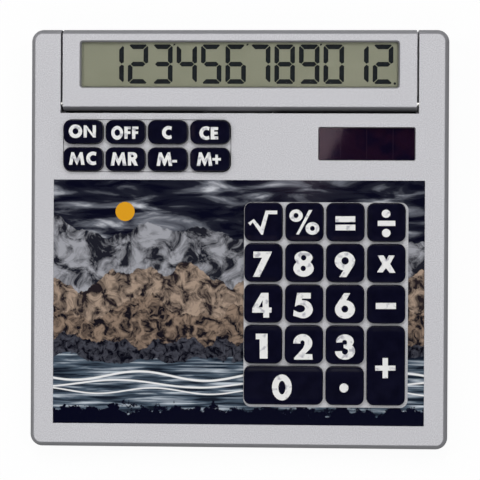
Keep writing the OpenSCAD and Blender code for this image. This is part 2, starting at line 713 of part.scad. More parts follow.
// Leads from the contacts' tails to the underside of the main board
module battery_wires() color("#b02020") {
    from = [0, button_y - (lead_d + tail_w) / 2, tail_top - 0.8];
    to_y = from[1] + battery_run[len(battery_run) - 1][1];
    climb = level_z((to_y - face_y0) / cos(tilt) - pcb_under * tan(tilt), -pcb_under) - from[2];
    for (x = tail_x) translate([x, from[1], from[2]])
        wire([for (p = battery_run) [p[0], p[1], p[2] * climb]], lead_d);
}

// Door that slides on its tongues; two ribs inside press on the cell
module battery_door() color("#b2b2b6") {
    rib_back = bay / 2 - door_travel - 0.3;
    translate([0, button_y, door_z]) {
        difference() {
            translate([-door_w / 2, -door_l / 2, 0]) cube([door_w, door_l, door_t]);
            for (i = [0:2]) translate([-grip_l / 2, -door_l / 2 + 3 + i * grip_pitch, -eps])
                cube([grip_l, grip_pitch / 2, grip_d + eps]);
        }
        for (x = door_rib_x) translate([x, -4, door_t - eps]) cube([1, 4 + rib_back, door_rib + eps]);
    }
    for (t = tongue_y)
        translate([-door_w / 2 - tongue_w, button_y - door_l / 2 + t, door_z + door_t - tongue_t])
            cube([door_w + 2 * tongue_w, tongue_l, tongue_t]);
}

// ---- screws, feet and pins ----

// Pan-head screw, its head's seat at z = 0 and its shank pointing up
module screw(d, len, head_d, head_h) {
    slot_l = head_d * 0.64;
    slot_w = head_d * 0.14;
    difference() {
        translate([0, 0, -head_h]) cylinder(d = head_d, h = head_h);
        for (a = [0, 90]) rotate(a)
            translate([-slot_l / 2, -slot_w / 2, -head_h - eps]) cube([slot_l, slot_w, head_h * 0.5]);
    }
    cylinder(d = d, h = len - d / 2);
    translate([0, 0, len - d / 2]) cylinder(d1 = d, d2 = d * 0.4, h = d / 2);
}

module board_screws() color("#9a9ca0") on_face() for (p = pcb_bosses)
    translate([p[0], p[1], -pcb_under]) screw(pcb_screw_d, pcb_screw_len, pcb_screw_d * 2, pcb_head_h);

module case_screws() color("#9a9ca0") on_face() for (p = case_bosses)
    translate([p[0], p[1], -case_h - seat_t]) screw(case_screw_d, case_screw_len, case_head_d, case_head_h);

feet = [for (x = [foot_side - hw, hw - foot_side], y = [foot_end - hd, hd - foot_end]) [x, y]];

module rubber_feet() color("#2a2a2c") for (p = feet) translate([p[0], p[1], 0]) {
    bevel = 0.4;
    cylinder(d1 = foot_d - 2 * bevel - 0.2, d2 = foot_d - 0.2, h = bevel);
    translate([0, 0, bevel]) cylinder(d = foot_d - 0.2, h = foot_h + foot_recess - bevel);
}

module hinge_pins() color("#c9ccd0") on_face() for (s = [-1, 1])
    translate([s * (head_w / 2 - pin_depth), hinge_y, -hinge_in])
        rotate([0, s * 90, 0]) cylinder(d = pin_d, h = pin_len);

// ---- display head ----

// Prism along x from its outline in the plane across the head: y, and height above the face
module across_head(w) {
    translate([-w / 2, 0, 0]) rotate([90, 0, 90]) linear_extrude(w) children();
}

module head_cover() color(silver) on_face() difference() {
    union() {
        difference() {
            translate([0, (head_y0 + head_y1) / 2, 0])
                across_head(head_w) polygon(section(head_d / 2, cover_h, edge_r, [bevel_w, bevel_h],
                    [head_bevel_w, bevel_h]));
            box(-head_w / 2 + head_wall, head_y0 + ear_d, head_wall,
                head_w / 2 - head_wall, head_y1 - head_wall, far);
            box(-head_w / 2 + ear_len, head_y0 + head_wall, head_wall,
                head_w / 2 - ear_len, head_y0 + ear_d + 1, far);
        }
        for (s = [-1, 1]) translate([s * head_screw_x, head_screw_y[1], -cover_h])
            cylinder(d = head_boss_d, h = cover_h - head_wall / 2);
    }
    translate([0, window_y, 0]) opening([window_w, window_d], head_wall, window_r, window_bevel);
    for (s = [-1, 1], y = head_screw_y) translate([s * head_screw_x, y, -cover_h - eps])
        cylinder(d = head_screw_d + 2 * thread_gap, h = head_screw_len - head_back_t + 1);
    for (s = [-1, 1]) translate([s * (head_w / 2 - pin_depth - 0.3), hinge_y, -hinge_in])
        rotate([0, s * 90, 0]) cylinder(d = pin_d + 2 * pin_clear, h = pin_len);
    box(-flex_w / 2 - 1, head_y0 - 1, cover_h - 0.4, flex_w / 2 + 1, head_y0 + head_wall + 1, cover_h + 1);
}

module head_back() color(silver) on_face() difference() {
    r = 0.6;
    across_head(head_w) polygon(concat([[head_y1, -cover_h]],
        arc(head_y1 - r, r - head_t, r, 0, -90), arc(head_y0 + r, r - head_t, r, -90, -180),
        [[head_y0, -cover_h]]));
    box(-flex_w / 2 - 1, head_y0 - 1, cover_h - 1, flex_w / 2 + 1, display_y0 + 4, cover_h + 0.6);
    for (s = [-1, 1], y = head_screw_y) translate([s * head_screw_x, y, -head_t - eps]) {
        cylinder(d = head_screw_d + 0.3, h = far);
        cylinder(d = head_screw_d * 2 + 0.4, h = head_head_h + 0.2 + eps);
    }
}

module display_window() color("#dfe6e6", 0.4) on_face() translate([0, window_y, 0])
    slab([window_w + 2 * window_border, window_d + 2 * window_border], head_wall, window_t, 0.5);

module display_seal() color("#1b1b1e") on_face() translate([0, window_y, 0]) difference() {
    slab([window_w + 2 * window_border, window_d + 2 * window_border], seal_z, seal_t, 0.5);
    slab([window_w - 1, window_d - 0.8], 0, far, 0.5);
}

// Two panes: the front one reaches forward over the contact strip
module display_glass() color("#868873") on_face() {
    box(-display_w / 2, display_y0, glass_z, display_w / 2, display_y1, glass_z + glass_t);
    box(-display_w / 2, display_y0 + ledge, glass_z + glass_t - eps,
        display_w / 2, display_y1, glass_z + 2 * glass_t);
}

module display_reflector() color("#b8bcae") on_face()
    box(-display_w / 2, display_y0 + ledge, film_z, display_w / 2, display_y1, film_z + film_t);

module display_foam() color("#3a3a3c") on_face()
    box(-display_w / 2 + 4, display_y0 + ledge + 2, foam_z,
        display_w / 2 - 4, display_y1 - 2, foam_z + foam_t);

module contact_strip() color("#8c8078") on_face()
    box(-display_w / 2 + 2, display_y0 + 0.3, glass_z + glass_t,
        display_w / 2 - 2, display_y0 + ledge - 0.3, display_board_z);

module display_board() color("#1d6b3a") on_face()
    box(-display_w / 2, display_y0, display_board_z,
        display_w / 2, display_y1, display_board_z + display_board_t);

module head_screws() color("#9a9ca0") on_face() for (s = [-1, 1], y = head_screw_y)
    translate([s * head_screw_x, y, -head_t + head_head_h + 0.2])
        screw(head_screw_d, head_screw_len, head_screw_d * 2, head_head_h);

// ---- keys ----

// Hollow cap with a dished top, a rim that stays under the face and a post over the dome
module key(size, at, corner) {
    h = key_rise + key_foot;
    inner = size - 2 * [key_wall, key_wall];
    top_t = key_dish + key_wall;
    across = min(size[0], size[1]) - 2 * (key_edge + dish_margin);
    ball = across * across / 8 / key_dish + key_dish / 2;
    color(gloss_black) on_face() translate([at[0], at[1], 0]) {
        difference() {
            translate([0, 0, key_rise]) plate(size[0], size[1], h, corner, key_edge);
            slab(inner, top_t - key_rise, far, max(corner - key_wall, 0.5));
            if (abs(size[0] - size[1]) < key_edge) translate([0, 0, key_rise - key_dish + ball])
                sphere(r = ball, $fn = 180);
        }
        difference() {
            slab(size + 2 * [key_rim, key_rim], face_t + rest_gap, key_rim_t, corner + key_rim);
            slab(inner, 0, far, max(corner - key_wall, 0.5));
        }
        translate([0, 0, -post_foot]) cylinder(d = key_post_d, h = post_foot + key_rise - top_t + key_dish);
    }
}

top_case();
bottom_case();
print_panel();
solar_window();
solar_cell();
solar_wires();
main_board();
calculator_chip();
capacitor();
resistors();
keypad_mat();
function_mat();
button_cell();
positive_contact();
negative_contact();
battery_wires();
board_screws();
case_screws();
rubber_feet();
hinge_pins();
display_cable();
head_cover();
head_back();
display_window();
display_seal();
display_glass();
display_reflector();
display_foam();
contact_strip();
display_board();
head_screws();
battery_door();
for (k = main_keys) key(main_size(k), main_at(k), key_corner);
for (k = fn_keys) key(fn_size(k), fn_at(k), fn_corner);
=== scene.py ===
"""Looks of the desk calculator: key caps and their legends, the display's digits, the printed
front panel, the rubber mats and the finish of every moulding, board and fitting."""
import json
import math

import bmesh
import bpy
from mathutils import Matrix, Vector


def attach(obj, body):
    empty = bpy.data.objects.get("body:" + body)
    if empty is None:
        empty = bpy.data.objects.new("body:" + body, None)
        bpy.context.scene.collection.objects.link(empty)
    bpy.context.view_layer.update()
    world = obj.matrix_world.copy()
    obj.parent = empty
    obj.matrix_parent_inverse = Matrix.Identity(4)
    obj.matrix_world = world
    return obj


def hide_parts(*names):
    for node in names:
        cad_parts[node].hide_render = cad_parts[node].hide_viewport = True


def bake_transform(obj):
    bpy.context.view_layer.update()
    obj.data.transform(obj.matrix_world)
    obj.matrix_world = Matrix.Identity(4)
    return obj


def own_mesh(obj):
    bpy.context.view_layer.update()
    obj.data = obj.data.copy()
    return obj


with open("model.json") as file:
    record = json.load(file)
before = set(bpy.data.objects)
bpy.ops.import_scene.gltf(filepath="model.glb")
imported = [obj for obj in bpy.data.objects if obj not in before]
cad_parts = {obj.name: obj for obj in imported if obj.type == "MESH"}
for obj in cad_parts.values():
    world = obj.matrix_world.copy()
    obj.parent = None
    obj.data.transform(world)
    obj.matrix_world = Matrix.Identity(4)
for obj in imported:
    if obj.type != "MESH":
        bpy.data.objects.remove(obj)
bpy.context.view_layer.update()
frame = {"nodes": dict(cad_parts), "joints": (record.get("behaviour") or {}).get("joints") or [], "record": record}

MM = 0.001
CAD = frame["nodes"]
BODY_OF = {name: body for body, names in frame["record"]["behaviour"]["bodies"].items()
           for name in names}
PRESS = Vector(next(j for j in frame["joints"] if j["name"] == "key_5_press")["axis"])

# Everything on the sloping face is modelled flat, in millimetres from the middle of the face,
# and FACE then lays it on the slope.
SLOPE = Matrix.Rotation(math.atan2(PRESS.y, -PRESS.z), 4, "X")


def reach(node, turn):
    """Lowest and highest corners of a CAD node as seen along the axes of turn."""
    back = turn.inverted()
    points = [back @ v.co for v in CAD[node].data.vertices]
    return [Vector([pick(p[i] for p in points) for i in range(3)]) for pick in (min, max)]


case_low, case_high = reach("top_case", SLOPE)
FACE = (SLOPE @ Matrix.Translation((0, (case_low.y + case_high.y) / 2, case_high.z))
        @ Matrix.Scale(MM, 4))


# ---- modelling helpers ----

ALONG = 0.99        # a direction whose share along an axis is more than this lies along it
TOUCH = 1e-4        # points closer than this are one point
SHARP = 30          # degrees between two faces above which their edge stays sharp


def only(obj):
    """Selects obj alone and makes it active."""
    bpy.ops.object.select_all(action="DESELECT")
    obj.select_set(True)
    bpy.context.view_layer.objects.active = obj


def block(name, low, high):
    """Box between two corners."""
    low, high = Vector(low), Vector(high)
    bpy.ops.object.select_all(action="DESELECT")
    bpy.ops.mesh.primitive_cube_add(size=1, location=(low + high) / 2)
    obj = bpy.context.object
    obj.name = obj.data.name = name
    obj.scale = high - low
    bpy.ops.object.transform_apply()
    return obj


def pick(kind, wanted):
    """In edit mode, selects the faces whose middle and normal are wanted, or the edges whose
    middle and direction are."""
    bpy.ops.mesh.select_mode(type=kind)
    bpy.ops.mesh.select_all(action="DESELECT")
    mesh = bmesh.from_edit_mesh(bpy.context.edit_object.data)
    for part in (mesh.faces if kind == "FACE" else mesh.edges):
        if kind == "FACE":
            middle, way = part.calc_center_median(), part.normal
        else:
            start, end = [v.co for v in part.verts]
            middle, way = (start + end) / 2, (end - start).normalized()
        if wanted(middle, way):
            part.select_set(True)
    bmesh.update_edit_mesh(bpy.context.edit_object.data)


def upright(middle, way):
    """Says which edges stand upright."""
    return abs(way.z) > ALONG


def level_at(height):
    """Says which faces or edges lie level at that height."""
    return lambda middle, way: abs(middle.z - height) < TOUCH


def raise_faces(height):
    """Extrudes the selected faces upwards, or downwards if height is negative."""
    bpy.ops.mesh.extrude_region_move(TRANSFORM_OT_translate={"value": (0, 0, height)})


def tidy_mesh():
    """Merges doubled points and turns the faces outwards, in edit mode."""
    bpy.ops.mesh.select_all(action="SELECT")
    bpy.ops.mesh.remove_doubles(threshold=TOUCH)
    bpy.ops.mesh.normals_make_consistent(inside=False)


def combine(obj, tool, operation):
    """Joins tool to obj, cuts it out or keeps what they share, and deletes tool."""
    only(obj)
    made = obj.modifiers.new("combine", "BOOLEAN")
    made.operation, made.object, made.solver = operation, tool, "EXACT"
    bpy.ops.object.modifier_apply(modifier=made.name)
    bpy.data.objects.remove(tool)


def copy_of(obj, name):
    """Copy of obj with its own mesh."""
    twin = obj.copy()
    twin.data = obj.data.copy()
    twin.name = twin.data.name = name
    bpy.context.collection.objects.link(twin)
    return twin


def smooth(obj):
    """Smooth shading, with flat faces kept flat and sharp edges kept sharp."""
    only(obj)
    bpy.ops.object.shade_smooth_by_angle(angle=math.radians(SHARP))
    made = obj.modifiers.new("weights", "WEIGHTED_NORMAL")
    made.keep_sharp = True
    bpy.ops.object.modifier_apply(modifier=made.name)


def place(obj, look, body, place_at=FACE, replaces=()):
    """Puts the finished piece where place_at says, gives it its finish and its body."""
    obj.data.transform(place_at)
    obj.data.materials.clear()
    obj.data.materials.append(look)
    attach(obj, body)
    if replaces:
        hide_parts(*replaces)
    return obj


def outline(items):
    """Points of an outline made of points (x, y) and arcs (x, y, two radii, from, to)."""
    points = []
    for item in items:
        if len(item) == 2:
            points.append(item)
            continue
        x, y, across, along, start, end = item
        steps = max(3, round(abs(end - start) / 10))
        whole = abs(end - start) == 360
        for i in range(steps if whole else steps + 1):
            turn = math.radians(start + (end - start) * i / steps)
            points.append((x + across * math.cos(turn), y + along * math.sin(turn)))
    return points


def flat_solid(name, outlines, low, high):
    """Flat solid between two heights. An outline that lies inside another is a hole."""
    curve = bpy.data.curves.new(name, "CURVE")
    curve.dimensions, curve.fill_mode, curve.extrude = "2D", "BOTH", (high - low) / 2
    for items in outlines:
        points = outline(items)
        spline = curve.splines.new("POLY")
        spline.points.add(len(points) - 1)
        for point, (x, y) in zip(spline.points, points):
            point.co = (x, y, 0, 1)
        spline.use_cyclic_u = True
    obj = bpy.data.objects.new(name, curve)
    bpy.context.collection.objects.link(obj)
    only(obj)
    bpy.ops.object.convert(target="MESH")
    obj = bpy.context.object
    bpy.ops.object.mode_set(mode="EDIT")
    tidy_mesh()
    bpy.ops.transform.translate(value=(0, 0, (low + high) / 2))
    bpy.ops.object.mode_set(mode="OBJECT")
    return obj


# ---- material helpers ----

def colour(code):
    """Linear colour of an sRGB hex value."""
    parts = [int(code[i:i + 2], 16) / 255 for i in (1, 3, 5)]
    return [p / 12.92 if p <= 0.04045 else ((p + 0.055) / 1.055) ** 2.4 for p in parts] + [1]


def add(tree, kind, inputs=(), out=0, stops=(), **settings):
    """Adds a node with its settings, its inputs and its ramp's stops; returns one output."""
    made = tree.nodes.new("ShaderNode" + kind)
    for name, value in settings.items():
        setattr(made, name, value)
    for socket, value in dict(inputs).items():
        if isinstance(value, bpy.types.NodeSocket):
            tree.links.new(value, made.inputs[socket])
        else:
            made.inputs[socket].default_value = value
    for i, (position, code) in enumerate(stops):
        slots = made.color_ramp.elements
        stop = slots[i] if i < 2 else slots.new(position)
        stop.position, stop.color = position, colour(code)
    return made.outputs[out]


def new_material(name, **plain):
    """New material, its node tree and its shader, with the shader's plain values set."""
    made = bpy.data.materials.new(name)
    made.use_nodes = True
    shader = made.node_tree.nodes["Principled BSDF"]
    for socket, value in plain.items():
        shader.inputs[socket.replace("_", " ")].default_value = value
    return made, made.node_tree, shader


def place_in_mm(tree, turned=True):
    """The piece's own coordinates in millimetres: from the middle of the sloping face, along
    and across it, or level if not turned."""
    if not turned:
        return add(tree, "Mapping", {"Vector": add(tree, "TexCoord", out="Object"),
                                     "Scale": (1 / MM,) * 3})
    back = FACE.inverted()
    return add(tree, "Mapping", {"Vector": add(tree, "TexCoord", out="Object"),
                                 "Location": back.translation,
                                 "Rotation": SLOPE.inverted().to_euler(), "Scale": (1 / MM,) * 3})


def grain(tree, where, size, detail=2):
    """Noise with lumps about size millimetres across."""
    return add(tree, "TexNoise", {"Vector": where, "Scale": 1 / size, "Detail": detail})


# ---- materials ----

# Metallic silver lacquer sprayed over moulded ABS: an even mid grey with fine aluminium flake in
# it. Its base colour is painted a darker grey where a surface slants from the eye: painted shade
# on the bevels, standing in for the flakes' flop. The flakes are drawn 0.35 mm across, coarser
# than the real 0.05 mm, so that they show.
silver, tree, shader = new_material("silver_lacquer_on_ABS", Metallic=0.04, Roughness=0.6, IOR=1.5,
                                    Specular_IOR_Level=0.1)
where = place_in_mm(tree)
flake = grain(tree, where, 0.35)
cloud = grain(tree, where, 28, 3)
tint = add(tree, "ValToRGB", {"Fac": flake}, stops=[(0.32, "#b5b4b8"), (0.68, "#d3d3d6")])
tint = add(tree, "Mix", {"Factor": add(tree, "Math", {0: cloud, 1: 0.3}, operation="MULTIPLY"),
                         "A": tint, "B": colour("#b6b6ba")}, out=2, data_type="RGBA")
# Painted shade: the base colour turns a darker grey as the surface slants away from the eye
painted_slant_shade = add(tree, "LayerWeight", {"Blend": 0.5}, out="Facing")
painted_slant_shade = add(tree, "MapRange", {"Value": painted_slant_shade, "From Min": 0.06, "From Max": 0.3})
tint = add(tree, "Mix", {"Factor": painted_slant_shade, "A": tint, "B": colour("#9a9a9e")}, out=2,
           data_type="RGBA")
tree.links.new(tint, shader.inputs["Base Color"])
rough = add(tree, "MapRange", {"Value": flake, "To Min": 0.55, "To Max": 0.7})
tree.links.new(rough, shader.inputs["Roughness"])
bump = add(tree, "Bump", {"Height": flake, "Strength": 0.12, "Distance": 0.02 * MM}, out="Normal")
tree.links.new(bump, shader.inputs["Normal"])

# Grey ABS straight from the mould: a little darker than the lacquer, matt, with the fine pits
# that a spark-eroded mould leaves, about 0.4 mm apart.
grey_abs, tree, shader = new_material("moulded_grey_ABS", Roughness=0.6, IOR=1.54)
where = place_in_mm(tree, turned=False)
pits = grain(tree, where, 0.4, 3)
tint = add(tree, "ValToRGB", {"Fac": pits}, stops=[(0.3, "#a6a6aa"), (0.7, "#b4b4b8")])
tree.links.new(tint, shader.inputs["Base Color"])
bump = add(tree, "Bump", {"Height": pits, "Strength": 0.35, "Distance": 0.05 * MM}, out="Normal")
tree.links.new(bump, shader.inputs["Normal"])

# Black ABS key caps with a blue cast, moulded in a polished mould: nearly black with a soft
# gloss, and faint handling marks a few millimetres across that vary the gloss.
key_black, tree, shader = new_material("glossy_black_ABS", IOR=1.5, Roughness=0.3,
                                       Specular_IOR_Level=0.12)
where = place_in_mm(tree)
marks = grain(tree, where, 3.5, 4)
tint = add(tree, "ValToRGB", {"Fac": marks}, stops=[(0.3, "#060617"), (0.75, "#0b0b20")])
tree.links.new(tint, shader.inputs["Base Color"])
rough = add(tree, "MapRange", {"Value": marks, "To Min": 0.12, "To Max": 0.18})
tree.links.new(rough, shader.inputs["Roughness"])
bump = add(tree, "Bump", {"Height": grain(tree, where, 0.5), "Strength": 0.08,
                          "Distance": 0.02 * MM}, out="Normal")
tree.links.new(bump, shader.inputs["Normal"])

# White pad-printing ink: a thin chalky film, greyer in patches 2 mm across.
white_ink, tree, shader = new_material("white_printing_ink", Roughness=0.55, IOR=1.45)
patches = grain(tree, place_in_mm(tree), 2.1, 4)
tint = add(tree, "ValToRGB", {"Fac": patches}, stops=[(0.34, "#a6a6ac"), (0.47, "#dfdfdd")])
tree.links.new(tint, shader.inputs["Base Color"])


def mirrored_share(tree):
    """Share of the light that acrylic mirrors as it goes in. On its way out none is mirrored."""
    leaving = add(tree, "NewGeometry", out="Backfacing")
    return add(tree, "Math", {0: add(tree, "Fresnel", {"IOR": 1.49}),
                              1: add(tree, "Math", {0: 1, 1: leaving}, operation="SUBTRACT")},
               operation="MULTIPLY")


# Clear acrylic of the display window: it lets nearly everything through and mirrors a little.
clear_acrylic, tree, shader = new_material("clear_acrylic")
tree.nodes.remove(shader)
haze = grain(tree, place_in_mm(tree), 6, 2)
mirror = add(tree, "BsdfGlossy", {"Roughness": add(tree, "MapRange", {"Value": haze, "To Min": 0.05,
                                                                     "To Max": 0.12})})
through = add(tree, "BsdfTransparent", {"Color": colour("#fafafa")})
glass = add(tree, "MixShader", {0: mirrored_share(tree), 1: through, 2: mirror})
tree.links.new(glass, tree.nodes["Material Output"].inputs["Surface"])

# Smoked acrylic of the solar window: a dark violet-brown tint over the cell, with a polished top.
smoked_acrylic, tree, shader = new_material("smoked_acrylic")
tree.nodes.remove(shader)
swirl = grain(tree, place_in_mm(tree), 9, 2)
mirror = add(tree, "BsdfGlossy", {"Roughness": add(tree, "MapRange", {"Value": swirl, "To Min": 0.03,
                                                                     "To Max": 0.06})})
through = add(tree, "BsdfTransparent", {"Color": colour("#dccdd0")})
glass = add(tree, "MixShader", {0: mirrored_share(tree), 1: through, 2: mirror})
tree.links.new(glass, tree.nodes["Material Output"].inputs["Surface"])

# Amorphous silicon on glass: a violet black film, bluer in places, in four strips, 8.75 mm wide,
# parted by laser cuts that show as thin greyer lines.
silicon, tree, shader = new_material("amorphous_silicon_on_glass", Roughness=0.2, IOR=1.52,
                                     Specular_IOR_Level=0.1)
where = place_in_mm(tree)
cell_low, cell_high = reach("solar_cell", FACE)
across = add(tree, "SeparateXYZ", {"Vector": where})
strip = (cell_high.x - cell_low.x) / 4
share = add(tree, "Math", {0: add(tree, "Math", {0: across, 1: cell_low.x}, operation="SUBTRACT"),
                           1: strip}, operation="DIVIDE")
edge = add(tree, "Math", {0: share, 1: 0.5}, operation="PINGPONG")
LASER_CUT = 0.12    # half the width of a cut between two strips
line = add(tree, "Math", {0: edge, 1: LASER_CUT / strip}, operation="LESS_THAN")
film = grain(tree, where, 5, 3)
tint = add(tree, "ValToRGB", {"Fac": film}, stops=[(0.38, "#120e36"), (0.6, "#2a1838")])
tint = add(tree, "Mix", {"Factor": line, "A": tint, "B": colour("#3a3048")}, out=2,
           data_type="RGBA")
tree.links.new(tint, shader.inputs["Base Color"])

# Twisted nematic display glass over a reflector: a flat grey-green, cloudy at 10 mm scale and
# finely grained by the reflector's brushed foil, 0.3 mm.
display_green, tree, shader = new_material("liquid_crystal_glass", Roughness=0.35, IOR=1.5)
where = place_in_mm(tree)
foil = grain(tree, where, 0.3)
cloud = grain(tree, where, 12)
tint = add(tree, "ValToRGB", {"Fac": cloud}, stops=[(0.3, "#888a71"), (0.7, "#909179")])
tint = add(tree, "Mix", {"Factor": add(tree, "Math", {0: foil, 1: 0.22}, operation="MULTIPLY"),
                         "A": tint, "B": colour("#73775f")}, out=2, data_type="RGBA")
tree.links.new(tint, shader.inputs["Base Color"])

# A liquid crystal segment that is switched on: a blue-black patch in the glass.
segment_dark, tree, shader = new_material("switched_on_segment", Roughness=0.5, IOR=1.5,
                                           Specular_IOR_Level=0.1)
patches = grain(tree, place_in_mm(tree), 1.5)
tint = add(tree, "ValToRGB", {"Fac": patches}, stops=[(0.3, "#0c1216"), (0.7, "#141c20")])
tree.links.new(tint, shader.inputs["Base Color"])


def plain_finish(name, dark, light, size, rough, bump_depth, **plain):
    """Finish of a hidden or small part: two close colours mottled at size millimetres, with a
    bump of that pattern, bump_depth millimetres deep."""
    made, tree, shader = new_material(name, Roughness=rough, **plain)
    where = place_in_mm(tree, turned=False)
    pattern = grain(tree, where, size, 3)
    tint = add(tree, "ValToRGB", {"Fac": pattern}, stops=[(0.3, dark), (0.7, light)])
    tree.links.new(tint, shader.inputs["Base Color"])
    bump = add(tree, "Bump", {"Height": pattern, "Strength": 0.5, "Distance": bump_depth * MM},
               out="Normal")
    tree.links.new(bump, shader.inputs["Normal"])
    return made


# Solder-masked glass-epoxy board: green, with the woven glass showing as faint mottling.
board_green = plain_finish("solder_masked_FR4", "#1a5f34", "#24743f", 0.8, 0.35, 0.02, IOR=1.5)
# Drop of epoxy over the bare chip: black, smooth and slightly wavy.
chip_resin = plain_finish("black_epoxy_resin", "#101012", "#1b1b1e", 2.5, 0.25, 0.05, IOR=1.55)
# Shrunk PVC sleeve of the capacitor: dark blue and glossy.
blue_sleeve = plain_finish("shrunk_PVC_sleeve", "#22305e", "#2c3c72", 1.2, 0.3, 0.02, IOR=1.53)
# Thick-film resistor bodies: fine-grained black glaze.
resistor_glaze = plain_finish("black_resistor_glaze", "#1b1b1e", "#2a2a2e", 0.5, 0.4, 0.02)
# Silicone rubber of the key mats: milky, soft and dusty to the eye.
milky_silicone = plain_finish("milky_silicone_rubber", "#cfcfca", "#dcdcd6", 4.0, 0.65, 0.02,
                              Subsurface_Weight=0.15, Subsurface_Scale=0.001, IOR=1.41)
# Nickel-plated steel of the button cell: bright, with fine scratches from the press.
nickel_steel = plain_finish("nickel_plated_steel", "#b9b9b4", "#cfcfca", 0.5, 0.28, 0.01,
                            Metallic=1)
# Zinc-plated steel of the screws: bluish grey, a little frosted.
zinc_steel = plain_finish("zinc_plated_steel", "#9c9fa5", "#b6b9be", 0.4, 0.38, 0.02, Metallic=1)
# Spring brass of the battery contacts: warm yellow with rolling marks.
spring_brass = plain_finish("rolled_spring_brass", "#b79a58", "#ccb06c", 0.4, 0.32, 0.02,
                            Metallic=1)
# Rubber feet: black, matt, with a fine grained skin.
foot_rubber = plain_finish("black_foot_rubber", "#1c1c1e", "#2b2b2e", 0.5, 0.8, 0.06)
# PVC insulation of the leads: red and slightly waxy.
red_lead = plain_finish("red_PVC_insulation", "#9c1a1a", "#b42424", 1.0, 0.4, 0.01)
# Closed-cell foam of the pad under the glass: black and matt, with cells 0.3 mm across. The same
# black is painted shade in the thin line round the function keys and the strips in the head's well.
black_foam_and_shade = plain_finish("closed_cell_foam_and_painted_shade", "#19191b", "#2a2a2c", 0.3, 0.9, 0.08)
# Foam tape of the seal under the display window: the same foam in olive grey.
olive_foam = plain_finish("olive_foam_tape", "#8a8c7a", "#989a86", 0.3, 0.9, 0.08)
# Aluminised film behind the display: pale, almost mirror-bright.
aluminised_film = plain_finish("aluminised_film", "#b4b8ac", "#c2c6ba", 0.3, 0.3, 0.01,
                               Metallic=0.6)
# Silicone strip with carbon layers that joins the display to its board: brown-grey.
zebra_rubber = plain_finish("layered_contact_rubber", "#4d4540", "#8c8078", 0.25, 0.6, 0.01)
# Flat cable of copper tracks between polyimide films, the outer one a black cover layer.
cable_film = plain_finish("black_cable_cover_film", "#0b0b0e", "#141418", 2, 0.45, 0.01)

# Printed polycarbonate film: a glossy full-colour print of layered hills above a lake at dusk.
print_film, tree, shader = new_material("printed_polycarbonate_film", Roughness=0.1, IOR=1.58,
                                         Specular_IOR_Level=0.25)
where = place_in_mm(tree)
east = add(tree, "SeparateXYZ", {"Vector": where})
north = east.node.outputs["Y"]
# Sky: dark slate with torn cloud bands
bands = add(tree, "Mapping", {"Vector": where, "Rotation": (0, 0, 0.35), "Scale": (0.05, 0.22, 1)})
clouds = add(tree, "TexNoise", {"Vector": bands, "Scale": 1, "Detail": 6, "Distortion": 0.6})
picture = add(tree, "ValToRGB", {"Fac": clouds},
              stops=[(0.4, "#06071a"), (0.7, "#c4c6cc"), (0.51, "#1e202c"), (0.6, "#63666f")])
# Ridges, from the farthest: middle height, roughness of the crest, its width, shade and light
for height, rise, width, seed, dark, light in (
        (2, 8, 26, 3, "#1c1d26", "#9c9da3"), (-13, 9, 19, 11, "#221c20", "#a38f7e"),
        (-24, 8, 13, 23, "#16131a", "#8c7868"), (-34, 5, 9, 37, "#080914", "#44454e")):
    crest = add(tree, "TexNoise", {"Vector": add(tree, "CombineXYZ", {"X": east, "Y": float(seed)}),
                                   "Scale": 1 / width, "Detail": 5})
    crest = add(tree, "MapRange", {"Value": crest, "From Min": 0.25, "From Max": 0.75,
                                   "To Min": height - rise, "To Max": height + rise})
    depth = add(tree, "Math", {0: crest, 1: north}, operation="SUBTRACT")
    here = add(tree, "MapRange", {"Value": depth, "From Min": -0.15, "From Max": 0.15})
    rock = add(tree, "TexNoise", {"Vector": add(tree, "Mapping", {
        "Vector": where, "Location": (seed, seed, 0), "Rotation": (0, 0, 0.8)}),
        "Scale": 4.2 / width, "Detail": 8, "Roughness": 0.62, "Distortion": 0.8})
    face = add(tree, "ValToRGB", {"Fac": rock}, stops=[(0.42, dark), (0.6, light)])
    picture = add(tree, "Mix", {"Factor": here, "A": picture, "B": face}, out=2, data_type="RGBA")
# Lake: steel blue with level streaks of light
streaks = add(tree, "TexNoise", {"Vector": add(tree, "Mapping", {"Vector": where,
                                                                "Scale": (0.06, 0.9, 1)}),
                                 "Scale": 1, "Detail": 6, "Distortion": 0.3})
water = add(tree, "ValToRGB", {"Fac": streaks},
            stops=[(0.38, "#131a26"), (0.7, "#c4ccd4"), (0.52, "#4a5866")])
shore = add(tree, "TexNoise", {"Vector": where, "Scale": 0.09, "Detail": 5})
shore = add(tree, "MapRange", {"Value": shore, "From Min": 0.25, "From Max": 0.75, "To Min": -44,
                               "To Max": -37})
wet = add(tree, "MapRange", {"Value": add(tree, "Math", {0: shore, 1: north}, operation="SUBTRACT"),
                             "From Min": -0.2, "From Max": 0.2})
picture = add(tree, "Mix", {"Factor": wet, "A": picture, "B": water}, out=2, data_type="RGBA")
# Near bank, almost black, along the front edge
bank = add(tree, "TexNoise", {"Vector": where, "Scale": 0.16, "Detail": 7, "Roughness": 0.7})
bank = add(tree, "MapRange", {"Value": bank, "From Min": 0.25, "From Max": 0.75, "To Min": -61,
                              "To Max": -52})
near = add(tree, "MapRange", {"Value": add(tree, "Math", {0: bank, 1: north}, operation="SUBTRACT"),
                              "From Min": -0.2, "From Max": 0.2})
picture = add(tree, "Mix", {"Factor": near, "A": picture, "B": colour("#05061a")}, out=2,
              data_type="RGBA")
# Sun above the far ridge: its middle, and its radius with the soft rim's two sides
SUN, SUN_RIM = (-38, 9, 0), (3.3, 3.1)
sun = add(tree, "VectorMath", {0: where, 1: SUN}, out="Value", operation="DISTANCE")
disc = add(tree, "MapRange", {"Value": sun, "From Min": SUN_RIM[0], "From Max": SUN_RIM[1]})
picture = add(tree, "Mix", {"Factor": disc, "A": picture, "B": colour("#d89a20")}, out=2,
              data_type="RGBA")
